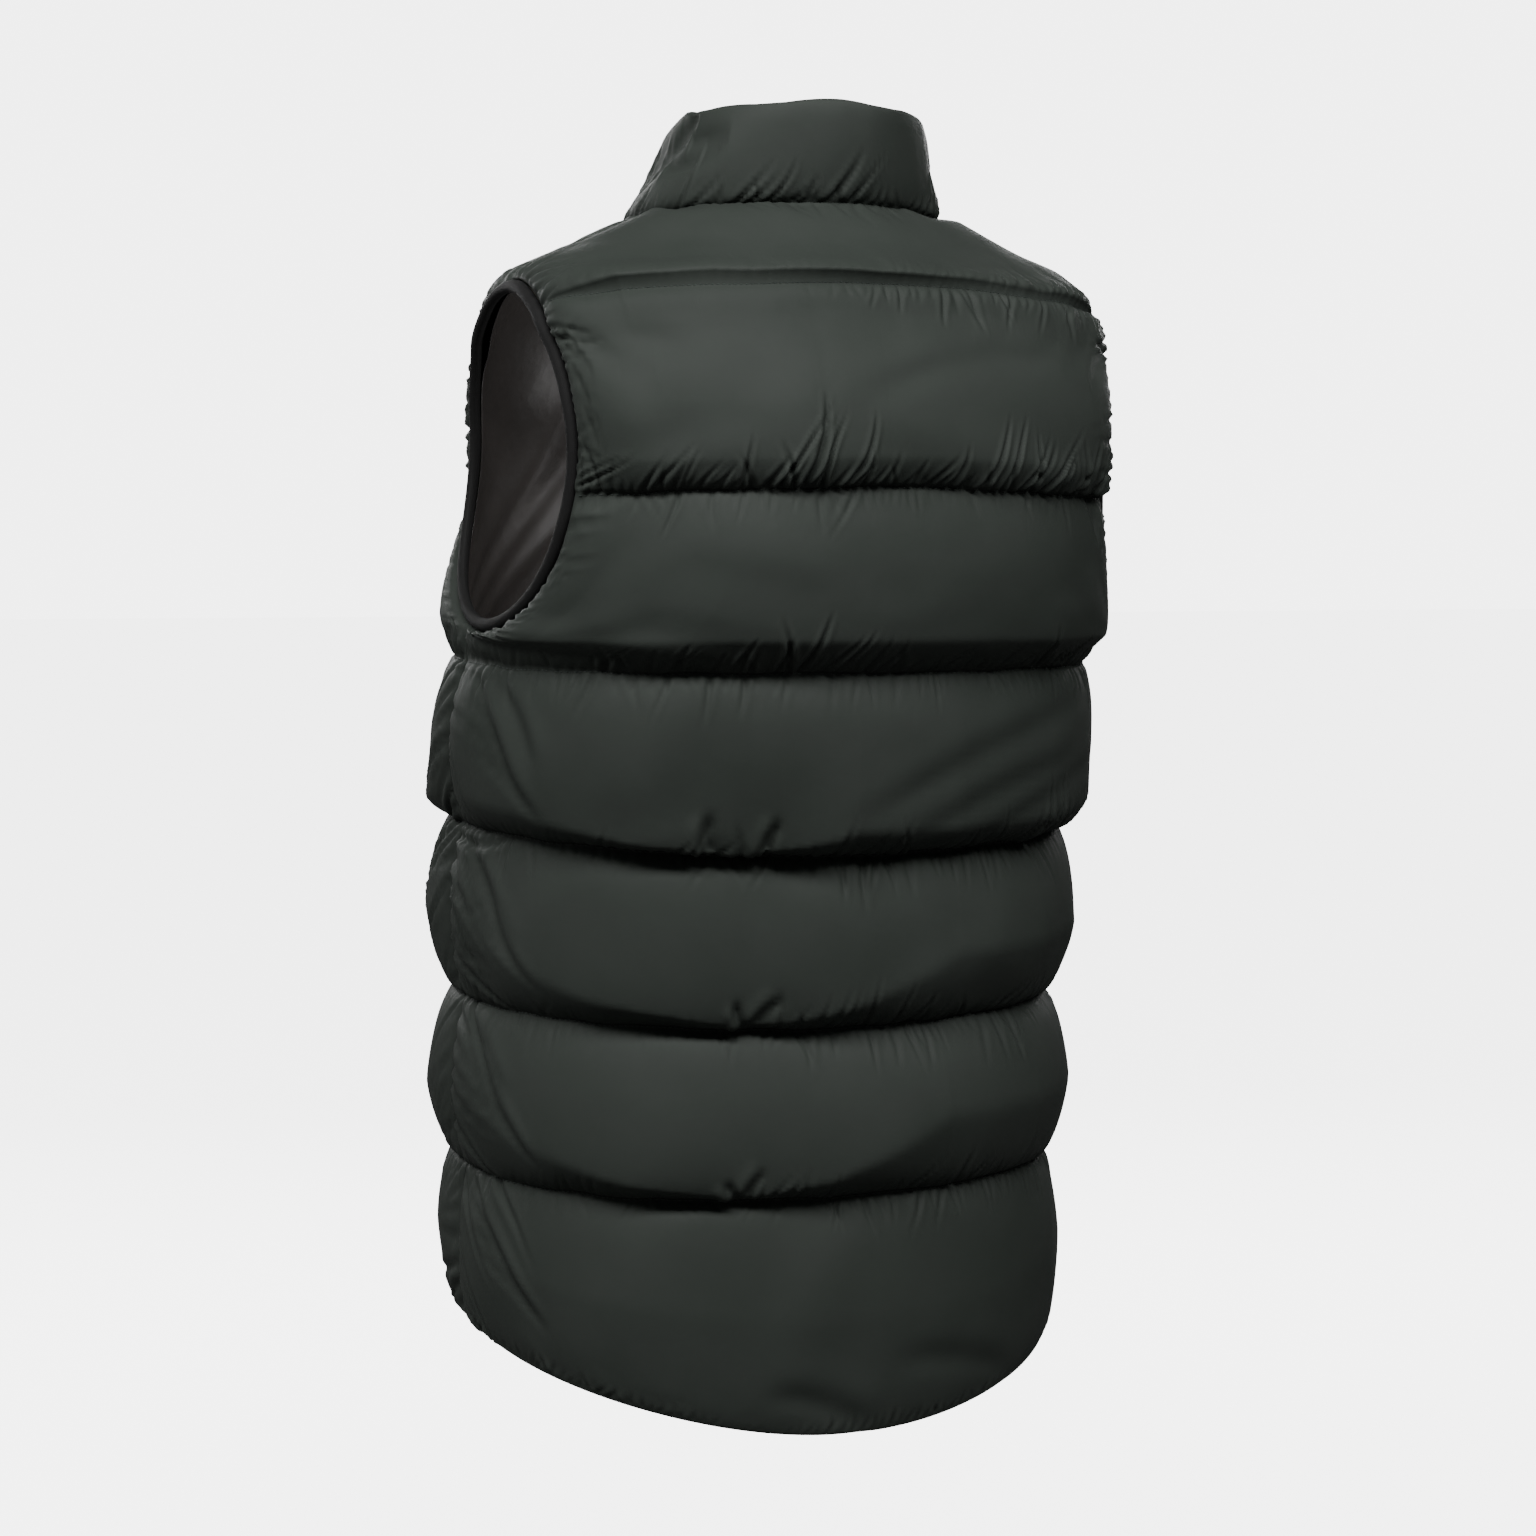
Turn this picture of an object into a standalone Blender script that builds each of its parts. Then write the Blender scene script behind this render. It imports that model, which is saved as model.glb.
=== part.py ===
"""A zipped-up quilted puffer vest, hollow and filled out as if it were worn.

Metres, +Z up. The wearer faces -Y and has their left at +X. The origin lies on
the line through both shoulder seams, midway between them at the foot of the
collar, where the shoulders carry the vest.

Every panel is a wall over one smooth inner form. That form is a stack of
rounded sections, and its outer points are lifted off it by the fill, which is
squeezed flat at each quilting seam and gathered beside it.
"""

import math
from collections import namedtuple

import bmesh
import bpy
import numpy as np

COLLECTION = "puffer_vest"

# The wall squeezed flat at a seam, and what two panels leave between them on
# their plain inner side and, where the fill rolls away, on their outer side.
SEAM_WALL = 0.0025
PIECE_GAP = 0.0003
SEAM_SPREAD = 0.0009

LINING_GAP = 0.0014
LINING_WALL = 0.0010
SMALLEST = 1e-9
SAME_POINT = 1e-6

# The inner form, from the hem up: half its width, its depth behind and before
# its centre line, where that line runs, and the power of its rounded outline.
Section = namedtuple("Section", "height half_width back front centre power")
BODY_SECTIONS = (
    Section(-0.720, 0.181, 0.153, 0.154, -0.052, 2.2),
    Section(-0.560, 0.178, 0.152, 0.152, -0.057, 2.2),
    Section(-0.460, 0.178, 0.152, 0.150, -0.056, 2.2),
    Section(-0.360, 0.182, 0.152, 0.148, -0.046, 2.2),
    Section(-0.260, 0.188, 0.152, 0.142, -0.022, 2.2),
    Section(-0.180, 0.189, 0.150, 0.138, -0.004, 2.3),
    Section(-0.120, 0.189, 0.143, 0.134, 0.000, 2.3),
    Section(-0.080, 0.186, 0.130, 0.120, 0.000, 2.3),
    Section(-0.060, 0.179, 0.120, 0.109, 0.000, 2.2),
    Section(-0.046, 0.168, 0.110, 0.098, 0.000, 2.1),
    Section(-0.034, 0.142, 0.098, 0.083, 0.000, 2.0),
    Section(-0.021, 0.115, 0.086, 0.067, 0.000, 2.0),
    Section(-0.008, 0.088, 0.075, 0.054, 0.000, 2.0),
    Section(0.004, 0.066, 0.062, 0.044, 0.000, 2.0),
)

# The quilting seams, from the hem up: their height at centre back, at the side
# and at centre front, and how far the fill of the baffle above stands out.
Level = namedtuple("Level", "name centre_back side centre_front loft")
LEVELS = (
    Level("hem", -0.706, -0.654, -0.635, 0.0100),
    Level("seam_1", -0.569, -0.563, -0.555, 0.0150),
    Level("seam_2", -0.471, -0.463, -0.456, 0.0150),
    Level("seam_3", -0.371, -0.359, -0.352, 0.0150),
    Level("seam_4", -0.267, -0.263, -0.250, 0.0120),
    Level("seam_5", -0.165, -0.168, -0.152, 0.0140),
    Level("seam_6", -0.058, -0.074, -0.102, 0.0075),
)
TOP = len(LEVELS)
ARMPIT_LEVEL = 4

# The armhole is cut straight through from the side, as an egg shape.
ARMHOLE_CENTRE_Y = 0.004
ARMHOLE_BACK = 0.084
ARMHOLE_FRONT = 0.080
ARMHOLE_TOP = -0.047
ARMHOLE_BOTTOM = -0.247

# The neck.
NECK_SIDE_HEIGHT = -0.008
NECK_BACK_HEIGHT = -0.003
NECK_FRONT_HEIGHT = -0.075


def mirror_points(points, side):
    """The same points on the wearer's left (side 1) or right (side -1)."""
    return points * np.array([side, 1.0, 1.0])


def smooth_table(rows, column, height):
    """The column's value at each height, by a monotone cubic through the rows."""
    keys = np.array([row.height for row in rows])
    values = np.array([getattr(row, column) for row in rows])
    step = np.diff(keys)
    slope = np.diff(values) / step
    same_way = slope[:-1] * slope[1:] > 0
    middle = np.where(
        same_way, 2 * slope[:-1] * slope[1:] / np.where(same_way, slope[:-1] + slope[1:], 1), 0
    )
    tangent = np.concatenate([slope[:1], middle, slope[-1:]])
    place = np.clip(height, keys[0], keys[-1])
    index = np.clip(np.searchsorted(keys, place) - 1, 0, len(step) - 1)
    u = (place - keys[index]) / step[index]
    start, end = values[index], values[index + 1]
    pull_in, pull_out = tangent[index] * step[index], tangent[index + 1] * step[index]
    return (
        (2 * u**3 - 3 * u**2 + 1) * start
        + (u**3 - 2 * u**2 + u) * pull_in
        + (3 * u**2 - 2 * u**3) * end
        + (u**3 - u**2) * pull_out
    )


def section(height):
    """The inner form's section at each height, one array for each column."""
    return Section(
        height, *(smooth_table(BODY_SECTIONS, name, height) for name in Section._fields[1:])
    )


def form_at_angle(angle, height):
    """Points of the inner form. The angle runs from centre back to the wearer's left."""
    angle, height = np.broadcast_arrays(np.asarray(angle, float), np.asarray(height, float))
    ring = section(height)
    across, along = np.sin(angle), np.cos(angle)
    depth = np.where(along > 0, ring.back, ring.front)
    reach = (
        (np.abs(across) / ring.half_width) ** ring.power + (np.abs(along) / depth) ** ring.power
    ) ** (-1 / ring.power)
    return np.stack([reach * across, ring.centre + reach * along, height], -1)


def form_at_x(x, height, facing):
    """Points of the inner form behind (facing 1) or before (facing -1) its centre line."""
    x, height = np.broadcast_arrays(np.asarray(x, float), np.asarray(height, float))
    ring = section(height)
    depth = ring.back if facing > 0 else ring.front
    share = np.clip(np.abs(x) / ring.half_width, 0, 1) ** ring.power
    return np.stack([x, ring.centre + facing * depth * (1 - share) ** (1 / ring.power), height], -1)


def form_level(points):
    """Under 1 inside the form, over 1 outside it."""
    ring = section(points[..., 2])
    along = points[..., 1] - ring.centre
    depth = np.where(along > 0, ring.back, ring.front)
    return (np.abs(points[..., 0]) / ring.half_width) ** ring.power + (
        np.abs(along) / depth
    ) ** ring.power


def form_normal(points, probe=0.0015):
    """The form's outward direction at each point."""
    slopes = [
        form_level(points + probe * axis) - form_level(points - probe * axis) for axis in np.eye(3)
    ]
    normal = np.stack(slopes, -1)
    return normal / np.maximum(np.linalg.norm(normal, axis=-1, keepdims=True), SMALLEST)


def level_height(level, angle):
    """A seam's height all round the body, from its three stated heights."""
    middle = (level.centre_back + level.centre_front) / 2
    return (
        (middle + level.side) / 2
        + (level.centre_back - level.centre_front) / 2 * np.cos(angle)
        + (middle - level.side) / 2 * np.cos(2 * angle)
    )


def form_side_x(y, height):
    """How far out the inner form lies at each y and height."""
    ring = section(height)
    along = y - ring.centre
    depth = np.where(along > 0, ring.back, ring.front)
    share = np.clip(np.abs(along) / depth, 0, 1) ** ring.power
    return ring.half_width * (1 - share) ** (1 / ring.power)


def armhole_point(turn):
    """Points of the left armhole's edge. A turn of 0 is its rearmost point, 90 degrees its top."""
    turn = np.asarray(turn, float)
    reach = np.where(np.cos(turn) > 0, ARMHOLE_BACK, ARMHOLE_FRONT)
    y = ARMHOLE_CENTRE_Y + reach * np.cos(turn)
    height = (ARMHOLE_TOP + ARMHOLE_BOTTOM) / 2 + (ARMHOLE_TOP - ARMHOLE_BOTTOM) / 2 * np.sin(turn)
    return np.stack([form_side_x(y, height), y, height], -1)


def bisect(function, low, high, steps=40):
    """Where the function changes sign between low and high."""
    rising = function(high) > function(low)
    for _ in range(steps):
        middle = (low + high) / 2
        if (function(middle) > 0) == rising:
            high = middle
        else:
            low = middle
    return (low + high) / 2


def from_centre_line(turn):
    """How far the armhole's edge lies behind the form's centre line."""
    point = armhole_point(turn)
    return float(point[1] - section(point[2]).centre)


def from_level(level, turn):
    """How far the armhole's edge lies above a quilting seam."""
    point = armhole_point(turn)
    angle = np.arctan2(point[0], point[1] - section(point[2]).centre)
    return float(point[2] - level_height(level, angle))


# Where the armhole's edge crosses the side seam, the shoulder seam and, behind
# and before the arm, the two quilting seams that run into it.
ARMPIT_TURN = bisect(from_centre_line, -math.radians(130), -math.radians(50))
SHOULDER_TURN = bisect(from_centre_line, math.radians(130), math.radians(50))
CROSSINGS = {
    facing: [
        bisect(lambda turn: from_level(level, turn), start, end)
        for level in LEVELS[ARMPIT_LEVEL + 1 :]
    ]
    for facing, start, end in (
        (1, ARMPIT_TURN, SHOULDER_TURN),
        (-1, ARMPIT_TURN, SHOULDER_TURN - 2 * math.pi),
    )
}


# ---- panels ----

# A panel's rows: how far up each baffle they lie. The armpit's baffle has more,
# because the foot of the armhole turns there.
ROW_SHARES = (0.0, 0.10, 0.34, 0.66, 0.90)
ARMPIT_ROW_SHARES = (0.0, 0.10, 0.17, 0.26, 0.37, 0.50, 0.64, 0.78, 0.90)
ARMPIT_CORNER = 1
PLAIN_ROW_SHARES = (0.0, 0.34, 0.66)

# Half a panel's columns, those of them under the collar, and how many of them
# one column of the plain inner side spans.
HALF_COLUMNS = 21
NECK_COLUMNS = 12
COLUMNS_PER_PLAIN = 3

# The zip runs in a slit this wide down centre front.
ZIP_SLIT = 0.0110

# How the fill thins towards a panel's edges.
ARMHOLE_FADE = 0.038
CENTRE_FADE = 0.018
SIDE_FADE = 0.030
SIDE_SEAM_LOFT = 0.50
DOME_POWER = 0.55
TOP_FADE = 0.030
HEM_START = 0.04

# Where along a panel's top edge its neck part ends and its shoulder part starts.
NECK_SHARE = NECK_COLUMNS / HALF_COLUMNS

# How late along a row its height is pulled to its edge's, and how often a row's
# angles are worked out again from its heights.
EDGE_PULL = 4
ROUNDS_TO_SETTLE = 3

# Gathers beside each seam.
GATHERS_ACROSS_BACK = 15
GATHERS_ACROSS_FRONT = 7
GATHER_DEPTH = 0.0022
GATHER_REACH = 0.2
GATHER_STRENGTHS = (0.25, 1.0)
GATHER_SHIFTS = (-0.3, 0.3)
GATHER_SEED = 7

# The deepest puckers: on which seam, how far round from centre back, how deep,
# how wide on either side and how far up the baffle above and down the one below.
Pucker = namedtuple("Pucker", "level degrees depth half_width_degrees above below")
PUCKERS = (
    Pucker(3, 33, 0.0070, 4.5, 0.50, 0.20),
    Pucker(3, 22, 0.0045, 4.0, 0.40, 0.15),
    Pucker(2, 24, 0.0060, 4.0, 0.35, 0.18),
    Pucker(1, 28, 0.0055, 4.0, 0.30, 0.25),
    Pucker(1, 10, 0.0040, 4.0, 0.25, 0.20),
    Pucker(4, 12, 0.0050, 3.5, 0.50, 0.20),
    Pucker(4, -14, 0.0045, 3.5, 0.45, 0.15),
    Pucker(5, 6, 0.0040, 3.5, 0.40, 0.10),
    Pucker(5, -35, 0.0045, 3.5, 0.40, 0.10),
    Pucker(3, -40, 0.0045, 4.0, 0.35, 0.15),
    Pucker(3, 150, 0.0050, 4.0, 0.40, 0.15),
    Pucker(3, -145, 0.0050, 4.0, 0.40, 0.15),
    Pucker(2, 160, 0.0045, 4.0, 0.35, 0.15),
    Pucker(2, -152, 0.0045, 4.0, 0.35, 0.15),
)

Row = namedtuple("Row", "baffle share turn")


def panel_rows(facing, shares, armpit_shares):
    """The rows of a back (facing 1) or front (facing -1) panel, with the armhole's turn at each."""
    rows = []
    last = SHOULDER_TURN if facing > 0 else SHOULDER_TURN - 2 * math.pi
    stops = [ARMPIT_TURN, *CROSSINGS[facing], last]
    corner = armpit_shares[ARMPIT_CORNER]
    for baffle in range(TOP):
        for share in armpit_shares if baffle == ARMPIT_LEVEL else shares:
            turn = None
            if baffle == ARMPIT_LEVEL and share >= corner:
                turn = lerp(stops[0], stops[1], (share - corner) / (1 - corner))
            elif baffle > ARMPIT_LEVEL:
                turn = lerp(stops[baffle - ARMPIT_LEVEL], stops[baffle - ARMPIT_LEVEL + 1], share)
            rows.append(Row(baffle, share, turn))
    rows.append(Row(TOP - 1, 1.0, stops[-1]))
    return rows


def lerp(start, end, share):
    return start + (end - start) * share


def mid_height(baffle, share, angle):
    """Height of a row away from the armhole, at an angle from centre back."""
    return lerp(level_height(LEVELS[baffle], angle), level_height(LEVELS[baffle + 1], angle), share)


def side_row_edge(row, facing):
    """The outer end of a panel's row: its angle from the panel's own centre line, and its height."""
    if row.turn is not None:
        point = armhole_point(row.turn)
        height = float(point[2])
        return math.atan2(point[0], facing * (point[1] - section(height).centre)), height
    foot, top = LEVELS[row.baffle].side, LEVELS[row.baffle + 1].side
    if row.baffle == ARMPIT_LEVEL:
        corner_share = ARMPIT_ROW_SHARES[ARMPIT_CORNER]
        armpit = float(armhole_point(ARMPIT_TURN)[2])
        return math.pi / 2, lerp(foot, armpit, row.share / corner_share)
    return math.pi / 2, lerp(foot, top, row.share)


def slit_angle(height, facing):
    """Where a panel starts beside its centre line: at once behind, beside the zip in front."""
    if facing > 0:
        return np.zeros_like(height)
    return ZIP_SLIT / 2 / section(height).front


def body_row(row, shares, facing):
    """Points of the form along a row below the yoke, from the centre line out."""
    edge_angle, edge_height = side_row_edge(row, facing)
    angle = shares * edge_angle
    for _ in range(ROUNDS_TO_SETTLE):
        true_angle = angle if facing > 0 else math.pi - angle
        edge_true = edge_angle if facing > 0 else math.pi - edge_angle
        pull = shares**EDGE_PULL * (edge_height - mid_height(row.baffle, row.share, edge_true))
        height = mid_height(row.baffle, row.share, true_angle) + pull
        start = slit_angle(height, facing)
        angle = start + shares * (edge_angle - start)
    return form_at_angle(angle if facing > 0 else math.pi - angle, height)


def top_edge(shares, facing):
    """A panel's neck edge, then its shoulder edge, as x and height."""
    tip = float(armhole_point(SHOULDER_TURN)[2])
    centre = NECK_BACK_HEIGHT if facing > 0 else NECK_FRONT_HEIGHT
    slit = 0.0 if facing > 0 else ZIP_SLIT / 2
    half_neck = float(section(NECK_SIDE_HEIGHT).half_width)
    round_neck = np.clip(shares / NECK_SHARE, 0, 1) * math.pi / 2
    neck_x = lerp(slit, half_neck, np.sin(round_neck))
    neck_height = lerp(NECK_SIDE_HEIGHT, centre, np.cos(round_neck) ** 2)
    down = np.clip((shares - NECK_SHARE) / (1 - NECK_SHARE), 0, 1)
    shoulder_height = lerp(NECK_SIDE_HEIGHT, tip, down)
    on_shoulder = shares > NECK_SHARE
    x = np.where(on_shoulder, section(shoulder_height).half_width, neck_x)
    return x, np.where(on_shoulder, shoulder_height, neck_height)


def yoke_row(row, shares, facing):
    """Points of the form along a row of the yoke, which turns over onto the shoulder."""
    foot = body_row(Row(TOP - 2, 1.0, CROSSINGS[facing][-1]), shares, facing)
    top_x, top_height = top_edge(shares, facing)
    ease = 1 + np.clip(shares / NECK_SHARE, 0, 1) ** 2
    up = 1 - (1 - row.share) ** ease
    x = lerp(foot[:, 0], top_x, up)
    height = lerp(foot[:, 2], top_height, up)
    edge = armhole_point(row.turn)
    pull = shares ** (2 * EDGE_PULL)
    x = x + pull * (edge[0] - x[-1])
    height = height + pull * (edge[2] - height[-1])
    return form_at_x(x, height, facing)


def half_form(rows, shares, facing, gap):
    """The form's points under half a panel, on the wearer's left: row, column, point.

    The gap is what its side and shoulder seams leave between it and its neighbour.
    """
    lines = [yoke_row if row.baffle == TOP - 1 else body_row for row in rows]
    points = np.array([line(row, shares, facing) for line, row in zip(lines, rows)])
    points[:, -1, 1] += facing * gap / 2
    points[-1, shares >= NECK_SHARE, 1] += facing * gap / 2
    return points


def rounded(distance, width):
    """0 at an edge, rising as a quarter circle to 1 at this distance from it."""
    return np.sqrt(1 - (1 - np.clip(distance / width, 0, 1)) ** 2)


def gather_strengths(count, facing):
    """How deep each gather along each seam is, uneven and the same each time."""
    chance = np.random.default_rng(GATHER_SEED + facing)
    size = (TOP + 1, count)
    return chance.uniform(*GATHER_STRENGTHS, size), chance.uniform(*GATHER_SHIFTS, size)


def gather_line(level, along, facing):
    """Gathers along a seam: -1 in a crease to 1 on a ridge, along runs 0 to 1 across the panel."""
    count = GATHERS_ACROSS_BACK if facing > 0 else GATHERS_ACROSS_FRONT
    strengths, shifts = gather_strengths(count, facing)
    place = along * (count - 1)
    index = np.clip(np.round(place).astype(int), 0, count - 1)
    phase = place - index + shifts[level, index]
    return strengths[level, index] * np.cos(2 * math.pi * phase)


def puckering(baffle, share, degrees):
    """How far the deepest puckers pull the wall in."""
    depth = np.zeros_like(degrees)
    for pucker in PUCKERS:
        if pucker.level == baffle:
            reach, up = pucker.above, share
        elif pucker.level == baffle + 1:
            reach, up = pucker.below, 1 - share
        else:
            continue
        across = np.exp(-(((degrees - pucker.degrees) / pucker.half_width_degrees) ** 2))
        depth += pucker.depth * across * max(0.0, 1 - up / reach)
    return depth


def fill_lift(rows, points, facing):
    """How far the outer wall stands off the form at each point."""
    along = np.linspace(0, 1, points.shape[1])
    steps = np.linalg.norm(np.diff(points, axis=1), axis=2)
    from_start = np.concatenate([np.zeros((len(rows), 1)), np.cumsum(steps, axis=1)], axis=1)
    from_end = from_start[:, -1:] - from_start
    from_top = np.linalg.norm(points - points[-1], axis=2)
    lift = np.zeros(points.shape[:2])
    for index, row in enumerate(rows):
        share = lerp(HEM_START, 1, row.share) if row.baffle == 0 else row.share
        dome = math.sin(math.pi * share) ** DOME_POWER if 0 < share < 1 else 0.0
        if row.turn is None:
            edge = SIDE_SEAM_LOFT + (1 - SIDE_SEAM_LOFT) * rounded(from_end[index], SIDE_FADE)
        else:
            edge = rounded(from_end[index], ARMHOLE_FADE)
        if facing > 0:
            other = edge[::-1]
        else:
            other = rounded(from_start[index], CENTRE_FADE)
        edge = edge * other if facing < 0 else np.where(along < 0.5, other, edge)
        if row.baffle == TOP - 1:
            edge = edge * rounded(from_top[index], TOP_FADE)
        place = points[index]
        degrees = np.degrees(np.arctan2(place[:, 0], place[:, 1] - section(place[:, 2]).centre))
        near = min(share, 1 - share)
        gather = np.zeros(len(along))
        if near > 0:
            level = row.baffle + (0 if share < 0.5 else 1)
            reach = math.exp(-((near / GATHER_REACH) ** 2))
            gather = GATHER_DEPTH * gather_line(level, along, facing) * reach
        stand = LEVELS[row.baffle].loft * dome + gather - puckering(row.baffle, row.share, degrees)
        lift[index] = SEAM_WALL + np.maximum(stand, 0) * edge
    return lift


def whole_form(rows, half_columns, facing, gap):
    """The form's points under a whole panel. A back panel is both halves in one."""
    points = half_form(rows, np.linspace(0, 1, half_columns + 1), facing, gap)
    if facing < 0:
        return points
    return np.concatenate([mirror_points(points[:, :0:-1], -1), points], axis=1)


# ---- meshes ----


def new_object(name, mesh, material):
    obj = bpy.data.objects.new(name, mesh)
    obj.data.materials.append(material)
    bpy.data.collections[COLLECTION].objects.link(obj)
    return obj


def new_material(name, colour, roughness, metallic=0.0):
    """A Principled material with one colour."""
    material = bpy.data.materials.new(name)
    material.use_nodes = True
    shader = material.node_tree.nodes["Principled BSDF"]
    shader.inputs["Base Color"].default_value = (*colour, 1.0)
    shader.inputs["Roughness"].default_value = roughness
    shader.inputs["Metallic"].default_value = metallic
    return material


def add_sheet(bm, points, middle=0):
    """Triangles through a grid of points, split the same way on both sides of a middle column.

    Returns its vertices as rows.
    """
    rows = [[bm.verts.new(place) for place in line] for line in points]
    for low, high in zip(rows, rows[1:]):
        for column, (a, b, c, d) in enumerate(zip(low, low[1:], high[1:], high)):
            halves = ((a, b, d), (b, c, d)) if column < middle else ((a, b, c), (a, c, d))
            for corners in halves:
                bm.faces.new(corners)
    return rows


def lace(bm, first, second):
    """Triangles between two chains of vertices that start and end together."""
    i = j = 0
    while i < len(first) - 1 or j < len(second) - 1:
        if j == len(second) - 1:
            along_first = True
        elif i == len(first) - 1:
            along_first = False
        else:
            across = (first[i + 1].co - second[j].co).length
            along_first = across <= (second[j + 1].co - first[i].co).length
        if along_first:
            bm.faces.new((first[i], second[j], first[i + 1]))
            i += 1
        else:
            bm.faces.new((first[i], second[j], second[j + 1]))
            j += 1


def middle_column(points):
    """The column on the body's centre line, or 0 where a panel only reaches it."""
    crosses = points[0, 0, 0] * points[0, -1, 0] < 0
    return points.shape[1] // 2 if crosses else 0


def wall_mesh(name, outer, inner):
    """A closed wall between two sheets of points, whose edges are laced together."""
    bm = bmesh.new()
    outside, inside = (add_sheet(bm, sheet, middle_column(sheet)) for sheet in (outer, inner))
    for pick in (
        lambda rows: rows[0],
        lambda rows: rows[-1],
        lambda rows: [row[0] for row in rows],
        lambda rows: [row[-1] for row in rows],
    ):
        lace(bm, pick(outside), pick(inside))
    bmesh.ops.recalc_face_normals(bm, faces=bm.faces[:])
    mesh = bpy.data.meshes.new(name)
    bm.to_mesh(mesh)
    bm.free()
    mesh.shade_smooth()
    return mesh


def add_wall(name, outer, inner, side, material):
    mesh = wall_mesh(name, mirror_points(outer, side), mirror_points(inner, side))
    return new_object(name, mesh, material)


def plain_form(facing):
    """The form under a panel, in few columns and, below the armpit, few rows."""
    below = panel_rows(facing, PLAIN_ROW_SHARES, ARMPIT_ROW_SHARES)
    above = panel_rows(facing, ROW_SHARES, ARMPIT_ROW_SHARES)
    rows = [row for row in below if row.baffle < ARMPIT_LEVEL]
    rows += [row for row in above if row.baffle >= ARMPIT_LEVEL]
    return whole_form(rows, HALF_COLUMNS // COLUMNS_PER_PLAIN, facing, PIECE_GAP)


def add_panel(name, facing, side, material):
    """A quilted panel: outer points lifted by the fill over a plain inner side."""
    rows = panel_rows(facing, ROW_SHARES, ARMPIT_ROW_SHARES)
    points = whole_form(rows, HALF_COLUMNS, facing, SEAM_SPREAD)
    outer = points + form_normal(points) * fill_lift(rows, points, facing)[..., None]
    return add_wall(name, outer, plain_form(facing), side, material)


def add_lining(name, facing, side, material):
    """A thin plain wall just inside a panel."""
    points = plain_form(facing)
    normal = form_normal(points)
    outer = points - normal * LINING_GAP
    return add_wall(name, outer, outer - normal * LINING_WALL, side, material)


# ---- collar ----

COLLAR_COLUMNS = 4 * NECK_COLUMNS
COLLAR_BACK_HEIGHT = 0.060
COLLAR_SIDE_HEIGHT = 0.058
COLLAR_FRONT_HEIGHT = 0.078

# Towards the zip it thins to this share of its thickness.
COLLAR_END_FADE = 0.020
COLLAR_END_SHARE = 0.35

# Its top edge stands this far behind its foot, and leans in at the sides.
COLLAR_BACK_SHIFT = 0.015
COLLAR_SIDE_LEAN = 0.025
COLLAR_END_LEAN = 0.006

# Its top edge waves a little, by this much and unevenly.
COLLAR_WAVE = 0.0015
COLLAR_WAVES = (5, 3)

# What it leaves to the panels' neck edge, outside and inside.
COLLAR_GAP = 0.0005
COLLAR_INNER_GAP = 0.0022

# The collar's wall from its foot to its top edge: how far up, and how far its
# outer and inner faces stand from its middle.
CollarRow = namedtuple("CollarRow", "rise outer inner")
COLLAR_ROWS = (
    CollarRow(0.10, 0.0045, 0.0040),
    CollarRow(0.30, 0.0100, 0.0065),
    CollarRow(0.55, 0.0105, 0.0070),
    CollarRow(0.80, 0.0085, 0.0065),
    CollarRow(0.94, 0.0055, 0.0045),
)


def neck_line(angles):
    """Points of the neck edge round from centre back (0) to centre front (pi) on either side."""
    size = np.abs(angles)
    behind = size <= math.pi / 2
    bend = np.where(behind, size, math.pi - size)
    half_neck = float(section(NECK_SIDE_HEIGHT).half_width)
    x = lerp(np.where(behind, 0.0, ZIP_SLIT / 2), half_neck, np.sin(bend))
    end = np.where(behind, NECK_BACK_HEIGHT, NECK_FRONT_HEIGHT)
    height = lerp(NECK_SIDE_HEIGHT, end, np.cos(bend) ** 2)
    points = np.where(behind[:, None], form_at_x(x, height, 1), form_at_x(x, height, -1))
    return points * np.stack([np.sign(angles) + (angles == 0), *np.ones((2, len(angles)))], -1)


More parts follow.
